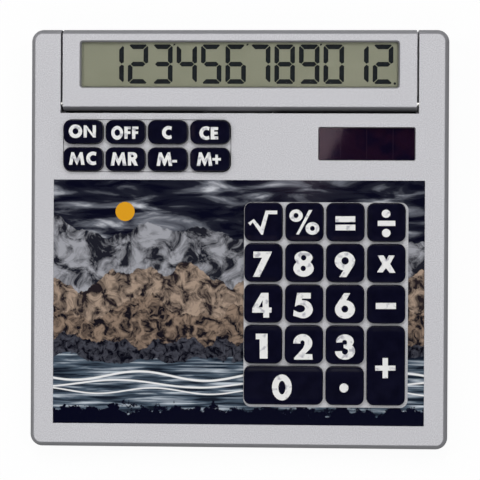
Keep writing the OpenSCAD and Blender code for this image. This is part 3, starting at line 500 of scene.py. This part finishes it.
# Three thin white waves on the lake: height, swing, length and half the line's width
for level, swing, length, weight in (
        (-46, 1.5, 7, 0.36), (-48.6, 1.2, 8.5, 0.3), (-51, 1.0, 6, 0.24)):
    wave = add(tree, "Math", {0: add(tree, "Math", {0: east, 1: length}, operation="DIVIDE")},
               operation="SINE")
    wave = add(tree, "Math", {0: wave, 1: swing, 2: level}, operation="MULTIPLY_ADD")
    off = add(tree, "Math", {0: add(tree, "Math", {0: north, 1: wave}, operation="SUBTRACT")},
              operation="ABSOLUTE")
    line = add(tree, "MapRange", {"Value": off, "From Min": weight + 0.1, "From Max": weight - 0.1})
    picture = add(tree, "Mix", {"Factor": line, "A": picture, "B": colour("#e6e6e6")}, out=2,
                  data_type="RGBA")
tree.links.new(picture, shader.inputs["Base Color"])

# ---- key caps and legends ----

RIM = 0.27          # width of the flange that stays under the face
RIM_TOP = -2.05     # height of the flange's upper side
FOOT = -2.95        # height of the cap's lower edge
CAP_WALL = 1.2
CAP_EDGE = 0.3      # rounding of the top edge
POST_D = 4.4
POST_SUNK = 0.4     # how far the post reaches into the cap's ceiling
# Rings of the shallow pan from its edge inwards: width and drop
PAN = ((0.3, -0.01), (0.45, -0.025), (0.5, -0.025), (0.45, -0.01))
PAN_DEPTH = sum(drop for width, drop in PAN)
INK = 0.03          # thickness of a legend's ink
LEGEND_SUNK, LEGEND_OVER = 0.4, 1      # reach of the blank that a legend is cut from
LEGEND_SCALE = (0.95, 0.975)           # across and along: fits the outlines below to the keys

key_low, key_high = reach("key_5", FACE)
KEY_TOP = key_high.z
POST_FOOT = key_low.z


def key_cap(name, width, depth, corner):
    """Hollow cap round the origin, with its flange, its shallow pan and its post."""
    half = Vector((width / 2 + RIM, depth / 2 + RIM, 0))
    cap = block(name, -half + Vector((0, 0, FOOT)), half + Vector((0, 0, RIM_TOP)))
    bpy.ops.object.mode_set(mode="EDIT")
    pick("EDGE", upright)
    bpy.ops.mesh.bevel(offset=corner + RIM, segments=7, affect="EDGES")
    pick("FACE", level_at(RIM_TOP))
    bpy.ops.mesh.inset(thickness=RIM)
    raise_faces(KEY_TOP - RIM_TOP)
    pick("EDGE", level_at(KEY_TOP))
    bpy.ops.mesh.bevel(offset=CAP_EDGE, segments=6, affect="EDGES")
    pick("FACE", lambda middle, way: middle.z > KEY_TOP - TOUCH)
    for ring, drop in PAN:
        bpy.ops.mesh.inset(thickness=ring, depth=drop)
    pick("FACE", level_at(FOOT))
    bpy.ops.mesh.inset(thickness=RIM + CAP_WALL)
    ceiling = KEY_TOP + PAN_DEPTH - CAP_WALL
    raise_faces(ceiling - FOOT)
    bpy.ops.object.mode_set(mode="OBJECT")
    post = flat_solid("post", [[(0, 0, POST_D / 2, POST_D / 2, 0, 360)]], POST_FOOT,
                      ceiling + POST_SUNK)
    combine(cap, post, "UNION")
    return cap


# Outlines of the legends in millimetres from the middle of the key: points (x, y) and arcs
# (x, y, two radii, from, to in degrees). An outline inside another is a hole.
LEGENDS = {
    "key_root": [[(-5.39, -0.42), (-3.37, 0.94), (-0.99, -1.84), (0.75, 3.83), (4.82, 3.85),
                  (4.83, 2.6), (1.71, 2.59), (-0.17, -4.42), (-0.71, -4.42), (-3.75, -0.22),
                  (-4.61, -1.28)]],
    "key_percent": [[(-2.93, 2.15, 2.35, 2.12, 0, 360)],
        [(-2.93, 2.2, 0.87, 0.87, 0, 360)],
        [(2.81, -2.18, 2.41, 2.16, 0, 360)],
        [(2.81, -2.18, 0.83, 0.83, 0, 360)],
        [(-2.88, -4.27), (-1.88, -4.27), (2.77, 4.09), (1.53, 4.08)]],
    "key_7": [[(-3.47, 3.79), (3.03, 3.83), (2.84, 3.15), (-1.25, -4.83), (-3.62, -4.84),
               (-0.42, 1.7), (-3.46, 1.68)]],
    "key_8": [[(-0.25, 1.75, 3.14, 2.24, -40, 220), (-0.23, -1.87, 3.55, 2.82, 142, 398)],
        [(-0.21, 1.77, 0.93, 0.93, 0, 360)],
        [(-0.33, -1.87, 0.93, 0.93, 0, 360)]],
    "key_equals": [[(-3.52, 2.01), (3.41, 2.04), (3.42, 0.03), (-3.51, 0)],
        [(-3.5, -0.86), (3.43, -0.83), (3.44, -2.8), (-3.49, -2.83)]],
    "key_divide": [[(-0.21, 2.94, 1.54, 1.39, 0, 360)],
        [(-0.12, -3.62, 1.51, 1.41, 0, 360)],
        [(-3.1, 0.54), (3.01, 0.57), (3.02, -1.21), (-3.09, -1.24)]],
    "key_9": [[(-2.08, -4.77), (0.41, -4.76), (-0.15, 0.69, 3.53, 3.18, -28, 262)],
        [(-0.05, 0.79, 1.27, 1.27, 0, 360)]],
    "key_multiply": [[(-3.05, 2.7), (-1, 2.71), (-0.08, 1.15), (0.81, 2.72), (2.88, 2.73),
                      (1.3, -0.14), (3.17, -3.19), (1.13, -3.2), (-0.18, -1.62), (-1.3, -3.06),
                      (-3.27, -3.07), (-1.47, -0.16)]],
    "key_4": [[(-0.66, 3.66), (1.88, 3.68), (2, -1.33), (2.99, -1.32), (3, -3.08), (2.16, -3.09),
               (2.17, -4.75), (0.12, -4.77), (0.12, -3.1), (-3.79, -3.13), (-3.8, -1.64)],
        [(-0.15, 1.16), (-0.14, -1.29), (-1.51, -1.3)]],
    "key_5": [[(-2.4, 3.74), (2.33, 3.77), (2.34, 1.82), (-0.76, 1.8),
               (-0.33, -1.84, 3.41, 3.1, 97, -118), (-3.79, -4.11), (-3.57, -2.14),
               (-1.41, -1.63, 1.79, 1.27, -122, 150), (-3.21, -0.75)]],
    "key_1": [[(-2.49, 3.68), (1.64, 3.71), (1.72, -4.8), (-1.05, -4.82), (-1.14, 1.78),
               (-2.48, 1.77)]],
    "key_2": [[(-3.69, 0.38), (-0.37, 0.54, 3.34, 3.13, 178, -20), (2.2, -1.38), (0.44, -3.13),
               (2.98, -3.21), (3.12, -5.04), (-3.3, -5.09), (-3.43, -4.56), (-0.24, -1.1),
               (0.25, 0.07), (-0.45, 0.64, 0.74, 0.87, -10, 165), (-1.18, 0.4)]],
    "key_6": [[(1.81, 3.75), (-0.36, 3.74), (-0.03, -1.79, 3.5, 3.14, 147, 443)],
        [(-0.08, -1.66, 1.18, 1.18, 0, 360)]],
    "key_minus": [[(-3.64, 0.49), (3.41, 0.54), (3.42, -1.55), (-3.63, -1.6)]],
    "key_3": [[(0.03, 1.28, 3.06, 2.37, 188, -38), (0.04, -2.04, 3.5, 2.93, 42, -178),
               (-1.28, -2.05), (0.04, -2.14, 1.08, 1.08, 175, 395), (-0.45, -0.94), (-0.45, 0.15),
               (-0.08, 0.92, 0.85, 0.82, -60, 178), (-2.83, 0.82)]],
    "key_plus": [[(-1.18, 2.7), (0.7, 2.71), (0.71, 0.12), (3.33, 0.14), (3.34, -1.57),
                  (0.72, -1.59), (0.73, -4.16), (-1.15, -4.18), (-1.16, -1.61), (-3.71, -1.63),
                  (-3.72, 0.08), (-1.17, 0.1)]],
    "key_point": [[(-0.25, -0.65, 1.57, 1.57, 0, 360)]],
    "key_0": [[(-0.42, -0.64, 3.47, 4.44, 0, 360)],
        [(-0.4, -0.7, 1.25, 2.33, 0, 360)]],
    "key_on": [[(-2.68, 0.12, 2.39, 2.33, 0, 360)],
        [(-2.68, 0.14, 1.02, 1.06, 0, 360)],
        [(0.22, 2.17), (1.19, 2.17), (3.4, -0.66), (3.38, 2.18), (4.55, 2.18), (4.52, -2.01),
         (3.6, -2.01), (1.35, 0.78), (1.29, -2.01), (0.2, -2.01)]],
    "key_off": [[(-2.86, -0.37, 2.08, 2.37, 0, 360)],
        [(-2.82, -0.31, 0.95, 1.1, 0, 360)],
        [(-0.35, 1.77), (1.88, 1.78), (1.89, 0.89), (0.86, 0.89), (0.86, 0.14), (1.79, 0.14),
         (1.8, -0.73), (0.87, -0.73), (0.8, -2.42), (-0.32, -2.43)],
        [(2.38, 1.78), (4.61, 1.78), (4.62, 0.9), (3.59, 0.9), (3.59, 0.14), (4.52, 0.15),
         (4.53, -0.72), (3.6, -0.72), (3.53, -2.42), (2.41, -2.42)]],
    "key_mc": [[(-4.95, -2.03), (-4.16, 2.27), (-3.19, 2.28), (-2.16, 0), (-1.05, 2.28),
                (-0.15, 2.28), (0.59, -2.02), (-0.63, -2.02), (-0.98, 0.26), (-1.97, -2.02),
                (-2.3, -2.02), (-3.35, 0.25), (-3.74, -2.03)],
        [(3.55, 0.21, 2.39, 2.32, 60, 300), (3.68, 0.21, 1.2, 1.12, 312, 48)]],
    "key_mr": [[(-5.1, -2.24), (-4.31, 2.29), (-3.34, 2.29), (-2.32, 0.02), (-1.21, 2.3),
                (-0.32, 2.3), (0.43, -2.22), (-0.79, -2.23), (-1.14, 0.05), (-2.13, -2.23),
                (-2.46, -2.23), (-3.5, 0.04), (-3.9, -2.24)],
        [(0.99, -2.22), (0.96, 2.34), (2.77, 1.02, 1.45, 1.33, 90, -58), (4.48, -2.21),
         (3.27, -2.22), (2.1, -0.49), (2.11, -2.22)],
        [(2.52, 1, 0.48, 0.42, 0, 360)]],
    "key_c": [[(0.35, -0.24, 2.32, 2.25, 60, 300), (0.49, -0.24, 1.16, 1.09, 312, 48)]],
    "key_ce": [[(-1.34, -0.4, 2.39, 2.32, 60, 300), (-1.2, -0.4, 1.2, 1.12, 312, 48)],
        [(0.23, 1.68), (2.84, 1.68), (2.84, 0.64), (1.49, 0.64), (1.5, 0.1), (2.71, 0.1),
         (2.72, -0.86), (1.5, -0.86), (1.5, -1.47), (2.85, -1.47), (2.86, -2.55), (0.26, -2.55)]],
    "key_m_minus": [[(-3.84, -2.29), (-3.05, 2.33), (-2.08, 2.33), (-1.07, 0.07), (0.04, 2.34),
                     (0.93, 2.34), (1.67, -2.27), (0.46, -2.28), (0.11, -0.01), (-0.88, -2.28),
                     (-1.21, -2.28), (-2.24, -0.01), (-2.64, -2.29)],
        [(1.6, -0.25), (3.34, -0.25), (3.35, -1.11), (1.61, -1.12)]],
    "key_m_plus": [[(-4.62, -2.25), (-3.83, 2.37), (-2.87, 2.37), (-1.85, 0.1), (-0.74, 2.38),
                    (0.14, 2.38), (0.88, -2.23), (-0.33, -2.24), (-0.67, 0.03), (-1.66, -2.24),
                    (-1.99, -2.24), (-3.03, 0.02), (-3.42, -2.25)],
        [(1.92, 1.61), (2.83, 1.62), (2.84, 0.46), (3.86, 0.47), (3.86, -0.4), (2.84, -0.4),
         (2.85, -1.65), (1.94, -1.65), (1.93, -0.4), (0.87, -0.41), (0.87, 0.46), (1.93, 0.46)]],
}
MAIN_CORNER, FUNCTION_CORNER = 2.3, 2.6
SMALL_KEY = 10      # a key less deep than this is a function key
caps = {}
for key, outlines in LEGENDS.items():
    low, high = reach(key, FACE)
    size = (round(high.x - low.x - 2 * RIM, 2), round(high.y - low.y - 2 * RIM, 2))
    middle = Matrix.Translation(((low.x + high.x) / 2, (low.y + high.y) / 2, 0))
    if size not in caps:
        corner = FUNCTION_CORNER if size[1] < SMALL_KEY else MAIN_CORNER
        caps[size] = key_cap("cap", *size, corner)
    cap = copy_of(caps[size], key + "_cap")
    legend = flat_solid(key + "_legend", outlines, KEY_TOP + PAN_DEPTH - LEGEND_SUNK,
                        KEY_TOP + LEGEND_OVER)
    legend.data.transform(Matrix.Diagonal((*LEGEND_SCALE, 1, 1)))
    inked = copy_of(cap, "inked")
    inked.data.transform(Matrix.Translation((0, 0, INK)))
    combine(legend, inked, "INTERSECT")
    smooth(cap)
    smooth(legend)
    place(cap, key_black, BODY_OF[key], FACE @ middle, [key])
    place(legend, white_ink, BODY_OF[key], FACE @ middle)
for cap in caps.values():
    bpy.data.objects.remove(cap)

# Painted shade: a thin black line round the function keys, in the edge of their recess, stands
# for the shadow down the recess's narrow groove. Its two outlines have a quarter round at each corner.
SHADE_LINE_IN, SHADE_LINE_W = 0.15, 0.16           # from the keys' sides to the painted shade line, and its width
SHADE_LINE_LOW, SHADE_LINE_HIGH = -0.3, 0.01
first, last = reach("key_mc", FACE)[0], reach("key_ce", FACE)[1]
shade_outlines = []
for spread in (SHADE_LINE_IN + SHADE_LINE_W, SHADE_LINE_IN):
    left, front = first.x + RIM - spread, first.y + RIM - spread
    right, back = last.x - RIM + spread, last.y - RIM + spread
    bend = FUNCTION_CORNER + spread
    shade_outlines.append([(x, y, bend, bend, start, start + 90) for x, y, start in (
        (right - bend, back - bend, 0), (left + bend, back - bend, 90),
        (left + bend, front + bend, 180), (right - bend, front + bend, 270))])
place(flat_solid("function_recess_painted_shade", shade_outlines, SHADE_LINE_LOW, SHADE_LINE_HIGH), black_foam_and_shade, "body")

# ---- display ----

DIGIT_W, DIGIT_H = 6.87, 13.2
DIGITS_Y = 51.95        # height of the digits' feet on the face
DIGITS_RIGHT = 51.39    # right side of the last digit
DIGIT_PITCH = 8.212
STROKE = 1.58
MITRE = 0.15            # half the gap between two segments
CORNER_CUT = 0.75       # slant across a digit's outer corners
TIP_SLANT = 0.6         # share of a side segment's slant that its outer end has at the middle
GLASS_TOP = reach("display_glass", FACE)[1].z
SHAPE_IN, SHAPE_OUT = GLASS_TOP - 0.02, GLASS_TOP + 0.02      # reach of a dark shape


def segment(letter, x, y):
    """Outline of one segment of a digit whose lower left corner is (x, y)."""
    right, top, middle = x + DIGIT_W, y + DIGIT_H, y + DIGIT_H / 2
    s, m, half, cut = STROKE, MITRE, STROKE / 2, CORNER_CUT
    if letter in "ad":
        edge, way = (top, -1) if letter == "a" else (y, 1)
        return [(x + cut + m, edge), (right - cut - m, edge),
                (right - cut / 2 - m, edge + way * cut / 2), (right - s - m, edge + way * s),
                (x + s + m, edge + way * s), (x + cut / 2 + m, edge + way * cut / 2)]
    if letter == "g":
        return [(x + half + m, middle), (x + s + m, middle + half),
                (right - s - m, middle + half), (right - half - m, middle),
                (right - s - m, middle - half), (x + s + m, middle - half)]
    outer, way = (x, 1) if letter in "ef" else (right, -1)
    end, turn = (top, -1) if letter in "fb" else (y, 1)
    return [(outer, end + turn * (cut + m)), (outer + way * cut / 2, end + turn * (cut / 2 + m)),
            (outer + way * s, end + turn * (s + m)), (outer + way * s, middle - turn * (half + m)),
            (outer + way * half, middle - turn * m),
            (outer, middle - turn * (half + m) * TIP_SLANT)]


SEGMENTS = {"0": "abcdef", "1": "bc", "2": "abged", "3": "abgcd", "4": "fgbc", "5": "afgcd",
            "6": "afgedc", "7": "abc", "8": "abcdefg", "9": "abcdfg"}
shown = "123456789012"
for place_from_right, digit in enumerate(reversed(shown)):
    x = DIGITS_RIGHT - place_from_right * DIGIT_PITCH - DIGIT_W
    outlines = [segment(letter, x, DIGITS_Y) for letter in SEGMENTS[digit]]
    piece = flat_solid(f"digit_{len(shown) - place_from_right}", outlines, SHAPE_IN, SHAPE_OUT)
    place(piece, segment_dark, "display_head")
# Thousands marks along the top, and the point after the last digit
marks = [[(x - 0.35, 64.7), (x + 0.25, 64.9), (x + 0.65, 66.2), (x - 0.2, 66.2)]
         for x in (-21.95, 2.61, 27.23)]
marks.append([(51.9, 52.1, 0.42, 0.42, 0, 360)])
place(flat_solid("display_marks", marks, SHAPE_IN, SHAPE_OUT), segment_dark, "display_head")

# ---- rubber mats ----

BETWEEN_ROWS = 15   # height on the face between the main keys and the function keys
keys_of = {"keypad_mat": [k for k in LEGENDS if reach(k, FACE)[1].y < BETWEEN_ROWS],
           "function_mat": [k for k in LEGENDS if reach(k, FACE)[0].y > BETWEEN_ROWS]}
MAT_T = 0.8
MAT_CORNER = 1
MAT_LIP, MAT_STEP, MAT_SUNK = 0.35, 0.2, 0.15   # width of the rim, its slope, and its height
DOME_R = 3.5
DOME_SKIRT = 0.2    # height of the dome's straight skirt
DOME_GAP = 0.03     # from a dome's top to the post above it
DOME_ROOF = 0.6     # thickness above the dome's hollow


def dome_cap(height):
    """Rubber dome on the origin, drawn in towards its flat crown and hollow below."""
    bpy.ops.object.select_all(action="DESELECT")
    bpy.ops.mesh.primitive_cylinder_add(vertices=32, radius=DOME_R, depth=DOME_SKIRT,
                                        location=(0, 0, DOME_SKIRT / 2))
    dome = bpy.context.object
    bpy.ops.object.transform_apply()
    bpy.ops.object.mode_set(mode="EDIT")
    pick("FACE", level_at(DOME_SKIRT))
    # Each ring's rise, and its size against the ring below
    for rise, size in ((0.35, 0.86), (0.45, 0.84), (height - 1.08, 0.9)):
        raise_faces(rise)
        bpy.ops.transform.resize(value=(size, size, 1))
    bpy.ops.mesh.inset(thickness=0.5)
    bpy.ops.transform.translate(value=(0, 0, 0.08))
    pick("FACE", level_at(0))
    bpy.ops.mesh.inset(thickness=0.7)
    raise_faces(height - DOME_ROOF)
    bpy.ops.transform.resize(value=(0.55, 0.55, 1))
    bpy.ops.object.mode_set(mode="OBJECT")
    return dome


for mat, keys in keys_of.items():
    low, high = reach(mat, FACE)
    sheet_top = low.z + MAT_T
    sheet = block(mat + "_sheet", low, (high.x, high.y, sheet_top))
    bpy.ops.object.mode_set(mode="EDIT")
    pick("EDGE", upright)
    bpy.ops.mesh.bevel(offset=MAT_CORNER, segments=4, affect="EDGES")
    pick("FACE", level_at(sheet_top))
    bpy.ops.mesh.inset(thickness=MAT_LIP)
    bpy.ops.mesh.inset(thickness=MAT_STEP, depth=-MAT_SUNK)
    bpy.ops.object.mode_set(mode="OBJECT")
    place(sheet, milky_silicone, "body", replaces=[mat])
    sunk = sheet_top - MAT_SUNK
    dome = dome_cap(POST_FOOT - DOME_GAP - sunk)
    for key in keys:
        low, high = reach(key, FACE)
        piece = copy_of(dome, key + "_dome")
        foot = Vector(((low.x + high.x) / 2, (low.y + high.y) / 2, sunk))
        smooth(piece)
        place(piece, milky_silicone, "body", FACE @ Matrix.Translation(foot))
        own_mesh(piece)
    bpy.data.objects.remove(dome)

# ---- flat cable and the painted shade beside it ----

CABLE_CUTS, CUT_NEAR = 20, 0.4  # cuts across the cable, and how near a line one of them lies
SAG, SAG_REACH = -0.22, 3.5     # depth of the cable's sag, and how far from its lowest line it goes
SAG_OFF = 0.6                   # from the cable's middle back to that line
cable_low, cable_high = reach("display_cable", FACE)
cable = block("display_cable_ribbon", cable_low, cable_high)
bpy.ops.object.mode_set(mode="EDIT")
pick("EDGE", lambda middle, way: abs(way.y) > ALONG)
bpy.ops.mesh.subdivide(number_cuts=CABLE_CUTS)
lowest = (cable_low.y + cable_high.y) / 2 + SAG_OFF
pick("EDGE", lambda middle, way: abs(middle.y - lowest) < CUT_NEAR and abs(way.x) > ALONG)
bpy.ops.transform.translate(value=(0, 0, SAG), use_proportional_edit=True,
                            proportional_edit_falloff="SMOOTH", proportional_size=SAG_REACH)
bpy.ops.object.mode_set(mode="OBJECT")
place(cable, cable_film, "body", replaces=["display_cable"])
cable.parent = None
hinge = Vector(next(j for j in frame["joints"] if j["name"] == "head_tilt")["pos_m"])
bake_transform(cable)

# Painted shade: thin black strips on the front wall and floor of the head's well, each side of the cable
WELL_GAP, WELL_UNDER = 1, 0.6   # room in front of the head and below it
WELL_SHADE_T, WELL_SHADE_TOP = 0.1, -0.7    # the shade strips' thickness, and how high they come up the wall
WELL_SHADE_REACH = 1.6                # how far it goes back along the floor
WELL_SHADE_CLEAR = 0.15               # from the cable's edge to the shade strips
head_low, head_high = reach("head_cover", FACE)
floor_z = reach("head_back", FACE)[0].z - WELL_UNDER
wall_y = head_low.y - WELL_GAP
for number, way in enumerate((-1, 1), 1):
    left, right = sorted((way * (cable_high.x + WELL_SHADE_CLEAR), way * head_high.x))
    for part, back, top in (("wall", wall_y + WELL_SHADE_T, WELL_SHADE_TOP),
                            ("floor", wall_y + WELL_SHADE_REACH, floor_z + WELL_SHADE_T)):
        # Each strip is painted shade where the well lies in shadow
        foam = block(f"well_shade_{part}_{number}", (left, wall_y, floor_z), (right, back, top))
        place(foam, black_foam_and_shade, "body")

# ---- mouldings and fittings that keep their CAD shape ----

SMOOTHED = {
    "top_case": silver, "head_cover": silver, "head_back": silver, "bottom_case": grey_abs,
    "battery_door": grey_abs, "rubber_feet": foot_rubber, "case_screws": zinc_steel,
    "head_screws": zinc_steel, "board_screws": zinc_steel, "hinge_pins": nickel_steel,
    "button_cell": nickel_steel, "capacitor": blue_sleeve, "calculator_chip": chip_resin,
    "battery_wires": red_lead, "solar_wires": red_lead,
}
# Each gets a skin of its own shape, merged and smoothed, without the CAD object's own marks
for node, look in SMOOTHED.items():
    skin = copy_of(CAD[node], node + "_skin")
    skin.parent = None
    for key in list(skin.keys()):
        del skin[key]
    skin.data.transform(Matrix.Scale(1 / MM, 4))
    only(skin)
    bpy.ops.mesh.customdata_custom_splitnormals_clear()
    bpy.ops.object.mode_set(mode="EDIT")
    bpy.ops.mesh.select_all(action="SELECT")
    bpy.ops.mesh.remove_doubles(threshold=TOUCH)
    bpy.ops.object.mode_set(mode="OBJECT")
    smooth(skin)
    place(skin, look, BODY_OF[node], Matrix.Scale(MM, 4), [node])

KEPT = {
    "print_panel": print_film, "solar_window": smoked_acrylic, "solar_cell": silicon,
    "main_board": board_green, "display_board": board_green, "resistors": resistor_glaze,
    "positive_contact": spring_brass, "negative_contact": spring_brass,
    "display_window": clear_acrylic, "display_seal": olive_foam, "display_foam": black_foam_and_shade,
    "display_glass": display_green, "display_reflector": aluminised_film,
    "contact_strip": zebra_rubber,
}
for node, look in KEPT.items():
    CAD[node].data.materials.clear()
    CAD[node].data.materials.append(look)

# ---- floor, light and camera ----

def seen_share(tree):
    """1 for what the camera sees, straight or by a mirror or through glass, and 0 for the light
    that falls on the object."""
    path = add(tree, "LightPath", out="Is Camera Ray")
    seen = add(tree, "Math", {0: path, 1: path.node.outputs["Is Glossy Ray"]}, operation="MAXIMUM")
    return add(tree, "Math", {0: seen, 1: path.node.outputs["Is Transmission Ray"]},
               operation="MAXIMUM")


bpy.ops.object.select_all(action="DESELECT")
bpy.ops.mesh.primitive_plane_add(size=6)
floor = bpy.context.object
floor.name = "floor"
paper = bpy.data.materials.new("white_paper_floor")
paper.use_nodes = True
tree = paper.node_tree
tree.nodes.remove(tree.nodes["Principled BSDF"])
lit = add(tree, "BsdfDiffuse", {"Color": colour("#f4f4f4")})
glow = add(tree, "Emission", {"Color": (1, 1, 1, 1), "Strength": 1})
GLOW_SHARE = 0.94   # the rest shows the object's shadow
shown_floor = add(tree, "MixShader", {0: GLOW_SHARE, 1: lit, 2: glow})
hidden_floor = add(tree, "BsdfDiffuse", {"Color": colour("#707070")})
tree.links.new(add(tree, "MixShader", {0: seen_share(tree), 1: hidden_floor, 2: shown_floor}),
               tree.nodes["Material Output"].inputs["Surface"])
floor.data.materials.append(paper)

# A pale studio: even grey light all round, and white up to a little above the horizon where seen
world = bpy.data.worlds.new("studio")
bpy.context.scene.world = world
world.use_nodes = True
tree = world.node_tree
height = add(tree, "SeparateXYZ", {"Vector": add(tree, "TexCoord", out="Generated")}, out="Z")
walls = add(tree, "ValToRGB", {"Fac": height}, stops=[(0.12, "#ffffff"), (0.32, "#202022")])
soft = add(tree, "Mix", {"Factor": seen_share(tree), "A": colour("#8c8c8e"), "B": walls}, out=2,
           data_type="RGBA")
tree.links.new(soft, tree.nodes["Background"].inputs["Color"])


def lamp(name, bearing, lean, distance, size, power):
    """Square soft lamp aimed at the face. bearing 0 is behind the calculator and 90 to its right;
    lean is its angle from straight above; distance and size are in metres, power in watts."""
    bearing, lean = math.radians(bearing), math.radians(lean)
    way = Vector((math.sin(bearing) * math.sin(lean), math.cos(bearing) * math.sin(lean),
                  math.cos(lean)))
    bpy.ops.object.light_add(type="AREA", location=way * distance)
    made = bpy.context.object
    made.name = name
    made.rotation_euler = way.to_track_quat("Z", "Y").to_euler()
    made.data.size, made.data.energy = size, power


lamp("rear_softbox", -5, 21, 1.3, 0.4, 5.45)
lamp("right_softbox", 80, 21, 1.3, 0.4, 2.9)
lamp("left_softbox", -85, 26, 1.3, 0.4, 3.1)
lamp("front_softbox", 180, 26, 1.3, 0.4, 2.2)

# Small card of light above the face, which the left of the solar window mirrors
bpy.ops.object.light_add(type="AREA", location=FACE @ Vector((13.6, 58, 600)))
card = bpy.context.object
card.name = "mirrored_card"
card.rotation_euler = (0, 0, math.radians(-27))
card.data.shape = "RECTANGLE"
card.data.size, card.data.size_y = 0.034, 0.046
card.data.color = (1, 0.72, 0.82)
card.data.energy = 0.0105

TARGET = FACE @ Vector((0.56, -0.36, 0))
SIGHT = Vector((0.04775, -0.08133, 0.99554)).normalized()     # from the face towards the camera
DISTANCE = 0.65
ROLL = math.radians(0.518)
SENSOR, LENS = 36, 146.04
side = Vector((0, 1, 0)).cross(SIGHT).normalized()
up = SIGHT.cross(side)
turned_side = side * math.cos(ROLL) + up * math.sin(ROLL)
turned_up = up * math.cos(ROLL) - side * math.sin(ROLL)
bpy.ops.object.camera_add()
camera = bpy.context.object
camera.matrix_world = Matrix.Translation(TARGET + SIGHT * DISTANCE) @ Matrix(
    (turned_side, turned_up, SIGHT)).transposed().to_4x4()
camera.data.sensor_width, camera.data.lens = SENSOR, LENS
camera.data.clip_start = 0.05
bpy.context.scene.camera = camera
bpy.context.scene.view_settings.view_transform = "Standard"
